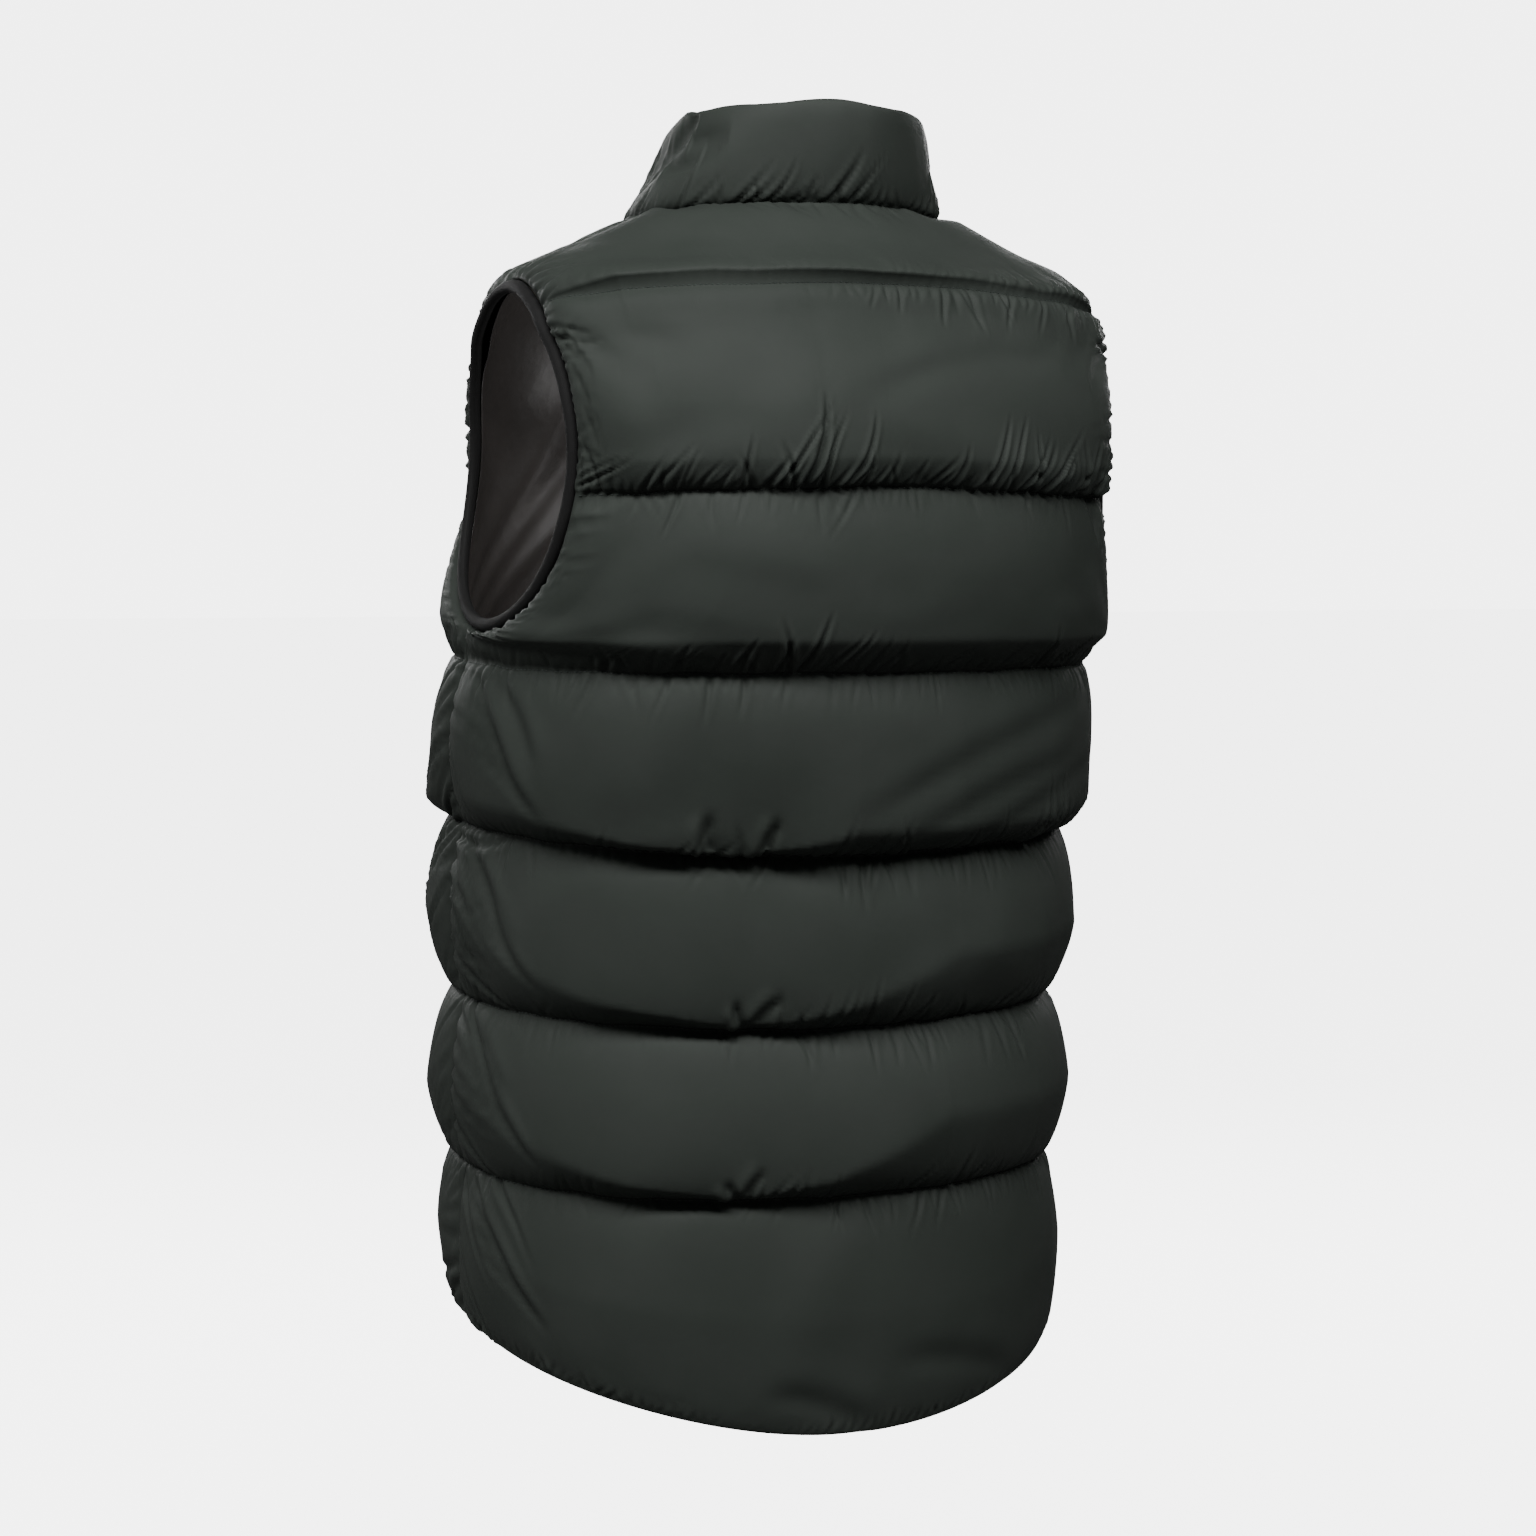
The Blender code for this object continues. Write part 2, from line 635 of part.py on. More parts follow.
def collar_loops():
    """Closed outlines of the collar's wall at each column, from one end of the zip to the other."""
    angles = np.linspace(-math.pi, math.pi, COLLAR_COLUMNS + 1)
    neck = neck_line(angles)
    run = np.gradient(neck, axis=0)
    outward = np.stack([run[:, 1], -run[:, 0], np.zeros(len(run))], -1)
    outward /= np.linalg.norm(outward, axis=1, keepdims=True)
    outward *= np.sign((outward[:, :2] * neck[:, :2]).sum(1))[:, None]
    outward[0] = outward[-1] = (0.0, -1.0, 0.0)
    normal = form_normal(neck)
    upward = np.cross(normal, run / np.linalg.norm(run, axis=1, keepdims=True))
    upward *= np.sign(upward[:, 2])[:, None]
    middle = (COLLAR_BACK_HEIGHT + COLLAR_FRONT_HEIGHT) / 2
    tall = (
        (middle + COLLAR_SIDE_HEIGHT) / 2
        + (COLLAR_BACK_HEIGHT - COLLAR_FRONT_HEIGHT) / 2 * np.cos(angles)
        + (middle - COLLAR_SIDE_HEIGHT) / 2 * np.cos(2 * angles)
        + COLLAR_WAVE * np.sin(COLLAR_WAVES[0] * angles + 1) * np.cos(COLLAR_WAVES[1] * angles)
    )
    lean = lerp(COLLAR_END_LEAN, COLLAR_SIDE_LEAN, np.sin(angles) ** 2)
    reach = np.cumsum(np.linalg.norm(np.diff(neck, axis=0, prepend=neck[:1]), axis=1))
    from_end = np.minimum(reach, reach[-1] - reach)
    thick = lerp(COLLAR_END_SHARE, 1, rounded(from_end, COLLAR_END_FADE))

    def place(rise, offset):
        spot = neck + outward * (offset * thick - lean * rise)[:, None]
        spot[:, 1] += COLLAR_BACK_SHIFT * rise
        spot[:, 2] += tall * rise
        return spot

    outline = [neck + upward * COLLAR_GAP + normal * SEAM_WALL]
    outline += [place(row.rise, row.outer) for row in COLLAR_ROWS]
    outline += [place(1.0, 0.0)]
    outline += [place(row.rise, -row.inner) for row in reversed(COLLAR_ROWS)]
    outline += [neck + upward * COLLAR_INNER_GAP]
    return np.stack(outline, 1)


def tube_mesh(name, loops):
    """A closed tube through outlines of equal point counts, capped at both ends."""
    bm = bmesh.new()
    add_sheet(bm, np.concatenate([loops, loops[:, :1]], axis=1))
    bmesh.ops.remove_doubles(bm, verts=bm.verts[:], dist=SAME_POINT)
    bmesh.ops.holes_fill(bm, edges=[edge for edge in bm.edges if edge.is_boundary])
    bmesh.ops.triangulate(bm, faces=bm.faces[:])
    bmesh.ops.recalc_face_normals(bm, faces=bm.faces[:])
    mesh = bpy.data.meshes.new(name)
    bm.to_mesh(mesh)
    bm.free()
    return mesh


def add_collar(material):
    mesh = tube_mesh("collar", collar_loops())
    mesh.shade_smooth()
    return new_object("collar", mesh, material)


# ---- armhole bindings ----

# How thick it is, how far it stands off the form and off the panels' edge, and
# how finely its roundness is cut.
BINDING_RADIUS = 0.0038
BINDING_LIFT = 0.0006
BINDING_GAP = 0.0005
BINDING_SIDES = 2


def armhole_turns():
    """The armhole's turns at every row of the back, then of the front, once round."""
    back, front = (
        [row.turn for row in panel_rows(facing, ROW_SHARES, ARMPIT_ROW_SHARES) if row.turn]
        for facing in (1, -1)
    )
    return np.array(back + front[-2:0:-1])


def add_binding(name, side, material):
    """A cord-like binding lying along the armhole's edge, just inside the hole."""
    edge = armhole_point(armhole_turns())
    normal = form_normal(edge)
    along = np.roll(edge, -1, axis=0) - np.roll(edge, 1, axis=0)
    away = np.cross(normal, along)
    away /= np.linalg.norm(away, axis=1, keepdims=True)
    away *= np.sign((away * (edge.mean(axis=0) - edge)).sum(axis=1, keepdims=True))
    centre = edge + away * (BINDING_RADIUS + BINDING_GAP) + normal * BINDING_LIFT
    curve = bpy.data.curves.new(name, "CURVE")
    curve.dimensions = "3D"
    curve.bevel_depth = BINDING_RADIUS
    curve.bevel_resolution = BINDING_SIDES
    spline = curve.splines.new("POLY")
    spline.points.add(len(centre) - 1)
    for point, place in zip(spline.points, mirror_points(centre, side)):
        point.co = (*place, 1.0)
    spline.use_cyclic_u = True
    return new_object(name, curve, material)


# ---- zip ----

# Half the gap between the two tapes, which the teeth close, and their thickness.
TAPE_INNER = 0.0009
TAPE_WALL = 0.0012
TAPE_STEPS = 26
COLLAR_TAPE_STEPS = 6
TAPE_END_MARGIN = 0.003

# The slider, and the arch on it: two posts and a bar over them.
SLIDER_WIDTH = 0.0090
SLIDER_LENGTH = 0.0110
SLIDER_DEPTH = 0.0030
SLIDER_BELOW_TOP = 0.014
SLIDER_CLEARANCE = 0.0004
METAL_EDGE = 0.0002
ARCH_WIDTH = 0.0018
ARCH_HALF_LENGTH = 0.0036
ARCH_POST = 0.0011
ARCH_INSIDE = 0.0026
ARCH_BAR = 0.0013

# The pull: a pin, two arms down to the foot of its eye, and a flat tab.
PULL_PIN_RADIUS = 0.0007
PULL_HALF_WIDTH = 0.0032
PULL_ARM_WIDTH = 0.0011
PULL_WALL = 0.0014
PULL_EYE = 0.0075
PULL_LENGTH = 0.0320


def zip_line():
    """The zip's middle line up centre front: points with y and height, hem to collar top."""
    loops = collar_loops()
    hem = LEVELS[0].centre_front + TAPE_END_MARGIN
    heights = np.linspace(hem, NECK_FRONT_HEIGHT, TAPE_STEPS)
    body = form_at_angle(math.pi, heights)
    foot = body[-1]
    top = loops[0].mean(axis=0)
    top[2] = loops[0][:, 2].max() - TAPE_END_MARGIN
    rises = np.linspace(0, 1, COLLAR_TAPE_STEPS + 1)[1:, None]
    collar = lerp(foot, top, rises)
    line = np.concatenate([body, collar])
    line[:, 0] = 0.0
    return line


def add_tape(name, side, material):
    """One side of the zip's tape, a thin strip between the zip's middle and the front's edge."""
    line = zip_line()
    out = np.array([0.0, -TAPE_WALL, 0.0])
    near, far = (np.array([side * x, 0.0, 0.0]) for x in (TAPE_INNER, ZIP_SLIT / 2 - PIECE_GAP))
    loops = np.stack([line + near, line + far, line + far + out, line + near + out], 1)
    return new_object(name, tube_mesh(name, loops), material)


def box_mesh(bm, low, high):
    """A box between two corners, added to a bmesh."""
    low, high = np.array(low), np.array(high)
    made = bmesh.ops.create_cube(bm, size=1.0)["verts"]
    for vert in made:
        vert.co = (low + high) / 2 + np.array(vert.co) * (high - low)


def union_object(name, boxes, material):
    """One body from overlapping boxes, joined exactly, with slightly rounded edges."""
    pieces = []
    for low, high in boxes:
        bm = bmesh.new()
        box_mesh(bm, low, high)
        mesh = bpy.data.meshes.new(name)
        bm.to_mesh(mesh)
        bm.free()
        pieces.append(bpy.data.objects.new(name + "_piece", mesh))
        bpy.data.collections[COLLECTION].objects.link(pieces[-1])
    base = pieces[0]
    for piece in pieces[1:]:
        joint = base.modifiers.new("join", "BOOLEAN")
        joint.operation = "UNION"
        joint.object = piece
    rounding = base.modifiers.new("round", "BEVEL")
    rounding.width = METAL_EDGE
    rounding.segments = 1
    rounding.limit_method = "ANGLE"
    bpy.context.view_layer.update()
    graph = bpy.context.evaluated_depsgraph_get()
    mesh = bpy.data.meshes.new_from_object(base.evaluated_get(graph))
    mesh.name = name
    for piece in pieces:
        bpy.data.objects.remove(piece)
    mesh.materials.clear()
    return new_object(name, mesh, material)


def slider_place():
    """The middle of the slider's back face on the zip, and how far the zip leans back there."""
    line = zip_line()
    height = line[-1, 2] - SLIDER_BELOW_TOP
    y = float(np.interp(height, line[:, 2], line[:, 1]))
    rise = line[-1] - line[-2]
    lean = math.atan2(rise[1], rise[2])
    return np.array([0.0, y - (TAPE_WALL + SLIDER_CLEARANCE) / math.cos(lean), height]), lean


def set_on_zip(obj, out):
    """Puts an object that is drawn upright onto the zip's slope, this far out from it."""
    foot, lean = slider_place()
    obj.location = foot - out * np.array([0.0, math.cos(lean), -math.sin(lean)])
    obj.rotation_euler = (-lean, 0.0, 0.0)
    return obj


def add_slider(material):
    """The slider's body with the arch that its pull hangs from."""
    x, half, depth = SLIDER_WIDTH / 2, SLIDER_LENGTH / 2, -SLIDER_DEPTH
    arch = ARCH_WIDTH / 2
    inside = depth - ARCH_INSIDE
    outside = inside - ARCH_BAR
    boxes = [
        ((-x, depth, -half), (x, 0, half)),
        ((-arch, outside, ARCH_HALF_LENGTH - ARCH_POST), (arch, depth / 2, ARCH_HALF_LENGTH)),
        ((-arch, outside, -ARCH_HALF_LENGTH), (arch, depth / 2, ARCH_POST - ARCH_HALF_LENGTH)),
        ((-arch, outside, -ARCH_HALF_LENGTH), (arch, inside, ARCH_HALF_LENGTH)),
    ]
    return set_on_zip(union_object("zip_slider", boxes, material), 0.0)


def add_pull(material):
    """The pull tab: a pin through the arch, two arms beside it and a flat tab below."""
    x, wall, r = PULL_HALF_WIDTH, PULL_WALL / 2, PULL_PIN_RADIUS
    boxes = [
        ((-x, -r, -r), (x, r, r)),
        ((-x, -wall, -PULL_EYE), (PULL_ARM_WIDTH - x, wall, r)),
        ((x - PULL_ARM_WIDTH, -wall, -PULL_EYE), (x, wall, r)),
        ((-x, -wall, -PULL_LENGTH), (x, wall, PULL_ARM_WIDTH - PULL_EYE)),
    ]
    return set_on_zip(union_object("zip_pull", boxes, material), SLIDER_DEPTH + ARCH_INSIDE / 2)


def clear_scene():
    for obj in list(bpy.data.objects):
        bpy.data.objects.remove(obj)
    collection = bpy.data.collections.new(COLLECTION)
    bpy.context.scene.collection.children.link(collection)


def main():
    clear_scene()
    shell = new_material("nylon_shell", (0.030, 0.040, 0.035), 0.45)
    lining = new_material("nylon_lining", (0.020, 0.017, 0.016), 0.35)
    binding = new_material("knit_binding", (0.006, 0.006, 0.006), 0.80)
    tape = new_material("zip_tape", (0.008, 0.010, 0.009), 0.80)
    metal = new_material("zip_metal", (0.045, 0.045, 0.045), 0.35, 0.9)
    add_panel("back", 1, 1, shell)
    add_lining("lining_back", 1, 1, lining)
    for side, name in ((1, "left"), (-1, "right")):
        add_panel("front_" + name, -1, side, shell)
        add_lining("lining_front_" + name, -1, side, lining)
        add_binding("armhole_binding_" + name, side, binding)
        add_tape("zip_tape_" + name, side, tape)
    add_collar(shell)
    add_slider(metal)
    add_pull(metal)


main()
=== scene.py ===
"""Looks for a zipped-up quilted puffer vest, filled out as if it were worn.

Metres, +Z up. The wearer faces -Y and has their left at +X. Each padded panel is
a cut sheet, a little larger than the form that it covers. It is stitched down
along the quilting seams and blown out by its fill, so that it gathers beside
each seam.
"""

import math
from collections import namedtuple
from functools import partial

import bmesh
import bpy
import numpy as np
from mathutils import Matrix, Vector


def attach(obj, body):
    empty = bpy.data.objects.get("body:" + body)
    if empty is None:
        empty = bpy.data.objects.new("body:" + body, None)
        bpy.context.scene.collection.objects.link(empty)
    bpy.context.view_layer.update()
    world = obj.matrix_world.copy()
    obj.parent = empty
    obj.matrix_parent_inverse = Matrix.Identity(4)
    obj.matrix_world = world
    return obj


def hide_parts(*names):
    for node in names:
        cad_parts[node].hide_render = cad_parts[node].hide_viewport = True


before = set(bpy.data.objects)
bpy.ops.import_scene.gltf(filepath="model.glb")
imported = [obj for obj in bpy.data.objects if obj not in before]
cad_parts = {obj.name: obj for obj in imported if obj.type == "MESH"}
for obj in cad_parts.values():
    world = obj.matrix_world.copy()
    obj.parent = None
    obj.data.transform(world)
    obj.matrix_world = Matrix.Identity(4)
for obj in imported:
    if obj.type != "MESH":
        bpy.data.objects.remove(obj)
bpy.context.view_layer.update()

# ---- the form under the vest, as in the solids ----

# A panel's thickness where it is stitched flat, and the gap between two panels.
SEAM_WALL = 0.0025
SEAM_SPREAD = 0.0003

# The least length to divide by, and how near two points are to be one.
SMALLEST = 1e-9
SAME_PLACE = 1e-6

# Rounded cross-sections of the body: half width, depth behind and before the
# centre, the centre's place from front to back, and the roundness of the corners.
Section = namedtuple("Section", "height half_width back front centre power")
BODY_SECTIONS = (
    Section(-0.720, 0.181, 0.153, 0.154, -0.052, 2.2),
    Section(-0.560, 0.178, 0.152, 0.152, -0.057, 2.2),
    Section(-0.460, 0.178, 0.152, 0.150, -0.056, 2.2),
    Section(-0.360, 0.182, 0.152, 0.148, -0.046, 2.2),
    Section(-0.260, 0.188, 0.152, 0.142, -0.022, 2.2),
    Section(-0.180, 0.189, 0.150, 0.138, -0.004, 2.3),
    Section(-0.120, 0.189, 0.143, 0.134, 0.000, 2.3),
    Section(-0.080, 0.186, 0.130, 0.120, 0.000, 2.3),
    Section(-0.060, 0.179, 0.120, 0.109, 0.000, 2.2),
    Section(-0.046, 0.168, 0.110, 0.098, 0.000, 2.1),
    Section(-0.034, 0.142, 0.098, 0.083, 0.000, 2.0),
    Section(-0.021, 0.115, 0.086, 0.067, 0.000, 2.0),
    Section(-0.008, 0.088, 0.075, 0.054, 0.000, 2.0),
    Section(0.004, 0.066, 0.062, 0.044, 0.000, 2.0),
)

# The heights of the hem and of each quilting seam, and how far the fill above it
# stands off the body.
Level = namedtuple("Level", "name centre_back side centre_front loft")
LEVELS = (
    Level("hem", -0.706, -0.654, -0.635, 0.0100),
    Level("seam_1", -0.569, -0.563, -0.555, 0.0150),
    Level("seam_2", -0.471, -0.463, -0.456, 0.0150),
    Level("seam_3", -0.371, -0.359, -0.352, 0.0150),
    Level("seam_4", -0.267, -0.263, -0.250, 0.0120),
    Level("seam_5", -0.165, -0.168, -0.152, 0.0140),
    Level("seam_6", -0.058, -0.074, -0.102, 0.0075),
)
TOP = len(LEVELS)
ARMPIT_LEVEL = 4

ARMHOLE_CENTRE_Y = 0.004
ARMHOLE_BACK = 0.084
ARMHOLE_FRONT = 0.080
ARMHOLE_TOP = -0.047
ARMHOLE_BOTTOM = -0.247

NECK_SIDE_HEIGHT = -0.008
NECK_BACK_HEIGHT = -0.003
NECK_FRONT_HEIGHT = -0.075

ZIP_SLIT = 0.0110


def lerp(start, end, share):
    return start + (end - start) * share


def eased(share):
    """A share from 0 to 1 with soft ends."""
    return share * share * (3 - 2 * share)


def mirror_points(points, side):
    return points * np.array([side, 1.0, 1.0])


def smooth_table(rows, column, height):
    """The column's value at each height, by a monotone cubic through the rows."""
    keys = np.array([row.height for row in rows])
    values = np.array([getattr(row, column) for row in rows])
    step = np.diff(keys)
    slope = np.diff(values) / step
    same_way = slope[:-1] * slope[1:] > 0
    middle = np.where(
        same_way, 2 * slope[:-1] * slope[1:] / np.where(same_way, slope[:-1] + slope[1:], 1), 0
    )
    tangent = np.concatenate([slope[:1], middle, slope[-1:]])
    place = np.clip(height, keys[0], keys[-1])
    index = np.clip(np.searchsorted(keys, place) - 1, 0, len(step) - 1)
    u = (place - keys[index]) / step[index]
    start, end = values[index], values[index + 1]
    pull_in, pull_out = tangent[index] * step[index], tangent[index + 1] * step[index]
    return (
        (2 * u**3 - 3 * u**2 + 1) * start
        + (u**3 - 2 * u**2 + u) * pull_in
        + (3 * u**2 - 2 * u**3) * end
        + (u**3 - u**2) * pull_out
    )


def section(height):
    return Section(
        height, *(smooth_table(BODY_SECTIONS, name, height) for name in Section._fields[1:])
    )


def form_at_angle(angle, height):
    angle, height = np.broadcast_arrays(np.asarray(angle, float), np.asarray(height, float))
    ring = section(height)
    across, along = np.sin(angle), np.cos(angle)
    depth = np.where(along > 0, ring.back, ring.front)
    reach = (
        (np.abs(across) / ring.half_width) ** ring.power + (np.abs(along) / depth) ** ring.power
    ) ** (-1 / ring.power)
    return np.stack([reach * across, ring.centre + reach * along, height], -1)


def form_at_x(x, height, facing):
    x, height = np.broadcast_arrays(np.asarray(x, float), np.asarray(height, float))
    ring = section(height)
    depth = ring.back if facing > 0 else ring.front
    share = np.clip(np.abs(x) / ring.half_width, 0, 1) ** ring.power
    return np.stack([x, ring.centre + facing * depth * (1 - share) ** (1 / ring.power), height], -1)


def form_level(points):
    ring = section(points[..., 2])
    along = points[..., 1] - ring.centre
    depth = np.where(along > 0, ring.back, ring.front)
    return (np.abs(points[..., 0]) / ring.half_width) ** ring.power + (
        np.abs(along) / depth
    ) ** ring.power


def form_normal(points, probe=0.0015):
    slopes = [
        form_level(points + probe * axis) - form_level(points - probe * axis) for axis in np.eye(3)
    ]
    normal = np.stack(slopes, -1)
    return normal / np.maximum(np.linalg.norm(normal, axis=-1, keepdims=True), SMALLEST)


def level_height(level, angle):
    middle = (level.centre_back + level.centre_front) / 2
    return (
        (middle + level.side) / 2
        + (level.centre_back - level.centre_front) / 2 * np.cos(angle)
        + (middle - level.side) / 2 * np.cos(2 * angle)
    )


def form_side_x(y, height):
    ring = section(height)
    along = y - ring.centre
    depth = np.where(along > 0, ring.back, ring.front)
    share = np.clip(np.abs(along) / depth, 0, 1) ** ring.power
    return ring.half_width * (1 - share) ** (1 / ring.power)


def armhole_point(turn):
    """The left armhole's edge. A turn of 0 is its rearmost point, 90 degrees its top."""
    turn = np.asarray(turn, float)
    reach = np.where(np.cos(turn) > 0, ARMHOLE_BACK, ARMHOLE_FRONT)
    y = ARMHOLE_CENTRE_Y + reach * np.cos(turn)
    height = (ARMHOLE_TOP + ARMHOLE_BOTTOM) / 2 + (ARMHOLE_TOP - ARMHOLE_BOTTOM) / 2 * np.sin(turn)
    return np.stack([form_side_x(y, height), y, height], -1)


def bisect(function, low, high, steps=40):
    rising = function(high) > function(low)
    for _ in range(steps):
        middle = (low + high) / 2
        if (function(middle) > 0) == rising:
            high = middle
        else:
            low = middle
    return (low + high) / 2


def from_centre_line(turn):
    point = armhole_point(turn)
    return float(point[1] - section(point[2]).centre)


def from_level(level, turn):
    point = armhole_point(turn)
    angle = np.arctan2(point[0], point[1] - section(point[2]).centre)
    return float(point[2] - level_height(level, angle))


ARMPIT_TURN = bisect(from_centre_line, -math.radians(130), -math.radians(50))
SHOULDER_TURN = bisect(from_centre_line, math.radians(130), math.radians(50))
CROSSINGS = {
    facing: [
        bisect(lambda turn: from_level(level, turn), start, end)
        for level in LEVELS[ARMPIT_LEVEL + 1 :]
    ]
    for facing, start, end in (
        (1, ARMPIT_TURN, SHOULDER_TURN),
        (-1, ARMPIT_TURN, SHOULDER_TURN - 2 * math.pi),
    )
}

# ---- how a panel is cut: rows up from the hem, columns out from the middle ----

ROWS_IN_BAFFLE = (25, 19, 19, 19, 21, 21, 18)
SEAM_CROWDING = 0.085
ARMPIT_CORNER_ROW = 2
ARMPIT_CORNER_SHARE = 0.10
HALF_COLUMNS = 84
NECK_COLUMNS = 48
NECK_SHARE = NECK_COLUMNS / HALF_COLUMNS

ARMHOLE_FADE = 0.038
CENTRE_FADE = 0.018
SIDE_FADE = 0.030
SIDE_SEAM_LOFT = 0.50
TOP_FADE = 0.030
DOME_POWER = 0.55
HEM_START = 0.04
EDGE_PULL = 4
ROUNDS_TO_SETTLE = 3

# The yoke is only joined on, not quilted down, so the fill lifts its seam: first
# the sheet before it is blown out, most on the wearer's left, then the result.
YOKE_SEAM_RAISE = 0.0095
YOKE_RAISE_PLACES = (-0.10, 0.04)
YOKE_RAISE_SHARES = (0.5, 1.0)
YOKE_RAISE_REACH = 0.022
YOKE_SEAM_FILL = 0.0080
YOKE_FILL_REACH = 0.013
YOKE_FILL_FADE = 0.05

Row = namedtuple("Row", "baffle share turn")


def baffle_shares(baffle):
    """How far up a baffle each of its rows lies."""
    count = ROWS_IN_BAFFLE[baffle]
    if baffle != ARMPIT_LEVEL:
        shares = [row / count for row in range(count)]
        return [
            share - SEAM_CROWDING * math.sin(2 * math.pi * row / count)
            for row, share in enumerate(shares)
        ]
    foot = [ARMPIT_CORNER_SHARE * row / ARMPIT_CORNER_ROW for row in range(ARMPIT_CORNER_ROW)]
    rest = count - ARMPIT_CORNER_ROW
    return foot + [lerp(ARMPIT_CORNER_SHARE, 1, row / rest) for row in range(rest)]


def panel_rows(facing):
    rows = []
    last = SHOULDER_TURN if facing > 0 else SHOULDER_TURN - 2 * math.pi
    stops = [ARMPIT_TURN, *CROSSINGS[facing], last]
    for baffle in range(TOP):
        for share in baffle_shares(baffle):
            turn = None
            if baffle == ARMPIT_LEVEL and share >= ARMPIT_CORNER_SHARE:
                past = (share - ARMPIT_CORNER_SHARE) / (1 - ARMPIT_CORNER_SHARE)
                turn = lerp(stops[0], stops[1], past)
            elif baffle > ARMPIT_LEVEL:
                turn = lerp(stops[baffle - ARMPIT_LEVEL], stops[baffle - ARMPIT_LEVEL + 1], share)
            rows.append(Row(baffle, share, turn))
    rows.append(Row(TOP - 1, 1.0, stops[-1]))
    return rows


def mid_height(baffle, share, angle):
    return lerp(level_height(LEVELS[baffle], angle), level_height(LEVELS[baffle + 1], angle), share)


def side_row_edge(row, facing):
    if row.turn is not None:
        point = armhole_point(row.turn)
        height = float(point[2])
        return math.atan2(point[0], facing * (point[1] - section(height).centre)), height
    foot, top = LEVELS[row.baffle].side, LEVELS[row.baffle + 1].side
    if row.baffle == ARMPIT_LEVEL:
        armpit = float(armhole_point(ARMPIT_TURN)[2])
        return math.pi / 2, lerp(foot, armpit, row.share / ARMPIT_CORNER_SHARE)
    return math.pi / 2, lerp(foot, top, row.share)


def slit_angle(height, facing):
    if facing > 0:
        return np.zeros_like(height)
    return ZIP_SLIT / 2 / section(height).front


def body_row(row, shares, facing):
    edge_angle, edge_height = side_row_edge(row, facing)
    angle = shares * edge_angle
    for _ in range(ROUNDS_TO_SETTLE):
        true_angle = angle if facing > 0 else math.pi - angle
        edge_true = edge_angle if facing > 0 else math.pi - edge_angle
        pull = shares**EDGE_PULL * (edge_height - mid_height(row.baffle, row.share, edge_true))
        height = mid_height(row.baffle, row.share, true_angle) + pull
        start = slit_angle(height, facing)
        angle = start + shares * (edge_angle - start)
    return form_at_angle(angle if facing > 0 else math.pi - angle, height)


def top_edge(shares, facing):
    tip = float(armhole_point(SHOULDER_TURN)[2])
    centre = NECK_BACK_HEIGHT if facing > 0 else NECK_FRONT_HEIGHT
    slit = 0.0 if facing > 0 else ZIP_SLIT / 2
    half_neck = float(section(NECK_SIDE_HEIGHT).half_width)
    round_neck = np.clip(shares / NECK_SHARE, 0, 1) * math.pi / 2
    neck_x = lerp(slit, half_neck, np.sin(round_neck))
    neck_height = lerp(NECK_SIDE_HEIGHT, centre, np.cos(round_neck) ** 2)
    down = np.clip((shares - NECK_SHARE) / (1 - NECK_SHARE), 0, 1)
    shoulder_height = lerp(NECK_SIDE_HEIGHT, tip, down)
    on_shoulder = shares > NECK_SHARE
    x = np.where(on_shoulder, section(shoulder_height).half_width, neck_x)
    return x, np.where(on_shoulder, shoulder_height, neck_height)


def yoke_row(row, shares, facing):
    foot = body_row(Row(TOP - 2, 1.0, CROSSINGS[facing][-1]), shares, facing)
    top_x, top_height = top_edge(shares, facing)
    ease = 1 + np.clip(shares / NECK_SHARE, 0, 1) ** 2
    up = 1 - (1 - row.share) ** ease
    x = lerp(foot[:, 0], top_x, up)
    height = lerp(foot[:, 2], top_height, up)
    edge = armhole_point(row.turn)
    pull = shares ** (2 * EDGE_PULL)
    x = x + pull * (edge[0] - x[-1])
    height = height + pull * (edge[2] - height[-1])
    return form_at_x(x, height, facing)


def half_form(rows, shares, facing, gap):
    lines = [yoke_row if row.baffle == TOP - 1 else body_row for row in rows]
    points = np.array([line(row, shares, facing) for line, row in zip(lines, rows)])
    points[:, -1, 1] += facing * gap / 2
    points[-1, shares >= NECK_SHARE, 1] += facing * gap / 2
    return points


def whole_form(rows, half_columns, facing, gap):
    points = half_form(rows, np.linspace(0, 1, half_columns + 1), facing, gap)
    if facing < 0:
        return points
    return np.concatenate([mirror_points(points[:, :0:-1], -1), points], axis=1)


def rounded(distance, width):
    return np.sqrt(1 - (1 - np.clip(distance / width, 0, 1)) ** 2)


def measures(points):
    """Metres across from the middle of each row, and metres up from the first row."""
    across = np.linalg.norm(np.diff(points, axis=1, prepend=points[:, :1]), axis=2).cumsum(axis=1)
    up = np.linalg.norm(np.diff(points, axis=0, prepend=points[:1]), axis=2).cumsum(axis=0)
    return across - across[:, across.shape[1] // 2][:, None], up


def seam_rows(rows):
    """The row of each quilting seam, and of the hem and the top edge."""
    return [index for index, row in enumerate(rows) if row.share in (0.0, 1.0)]


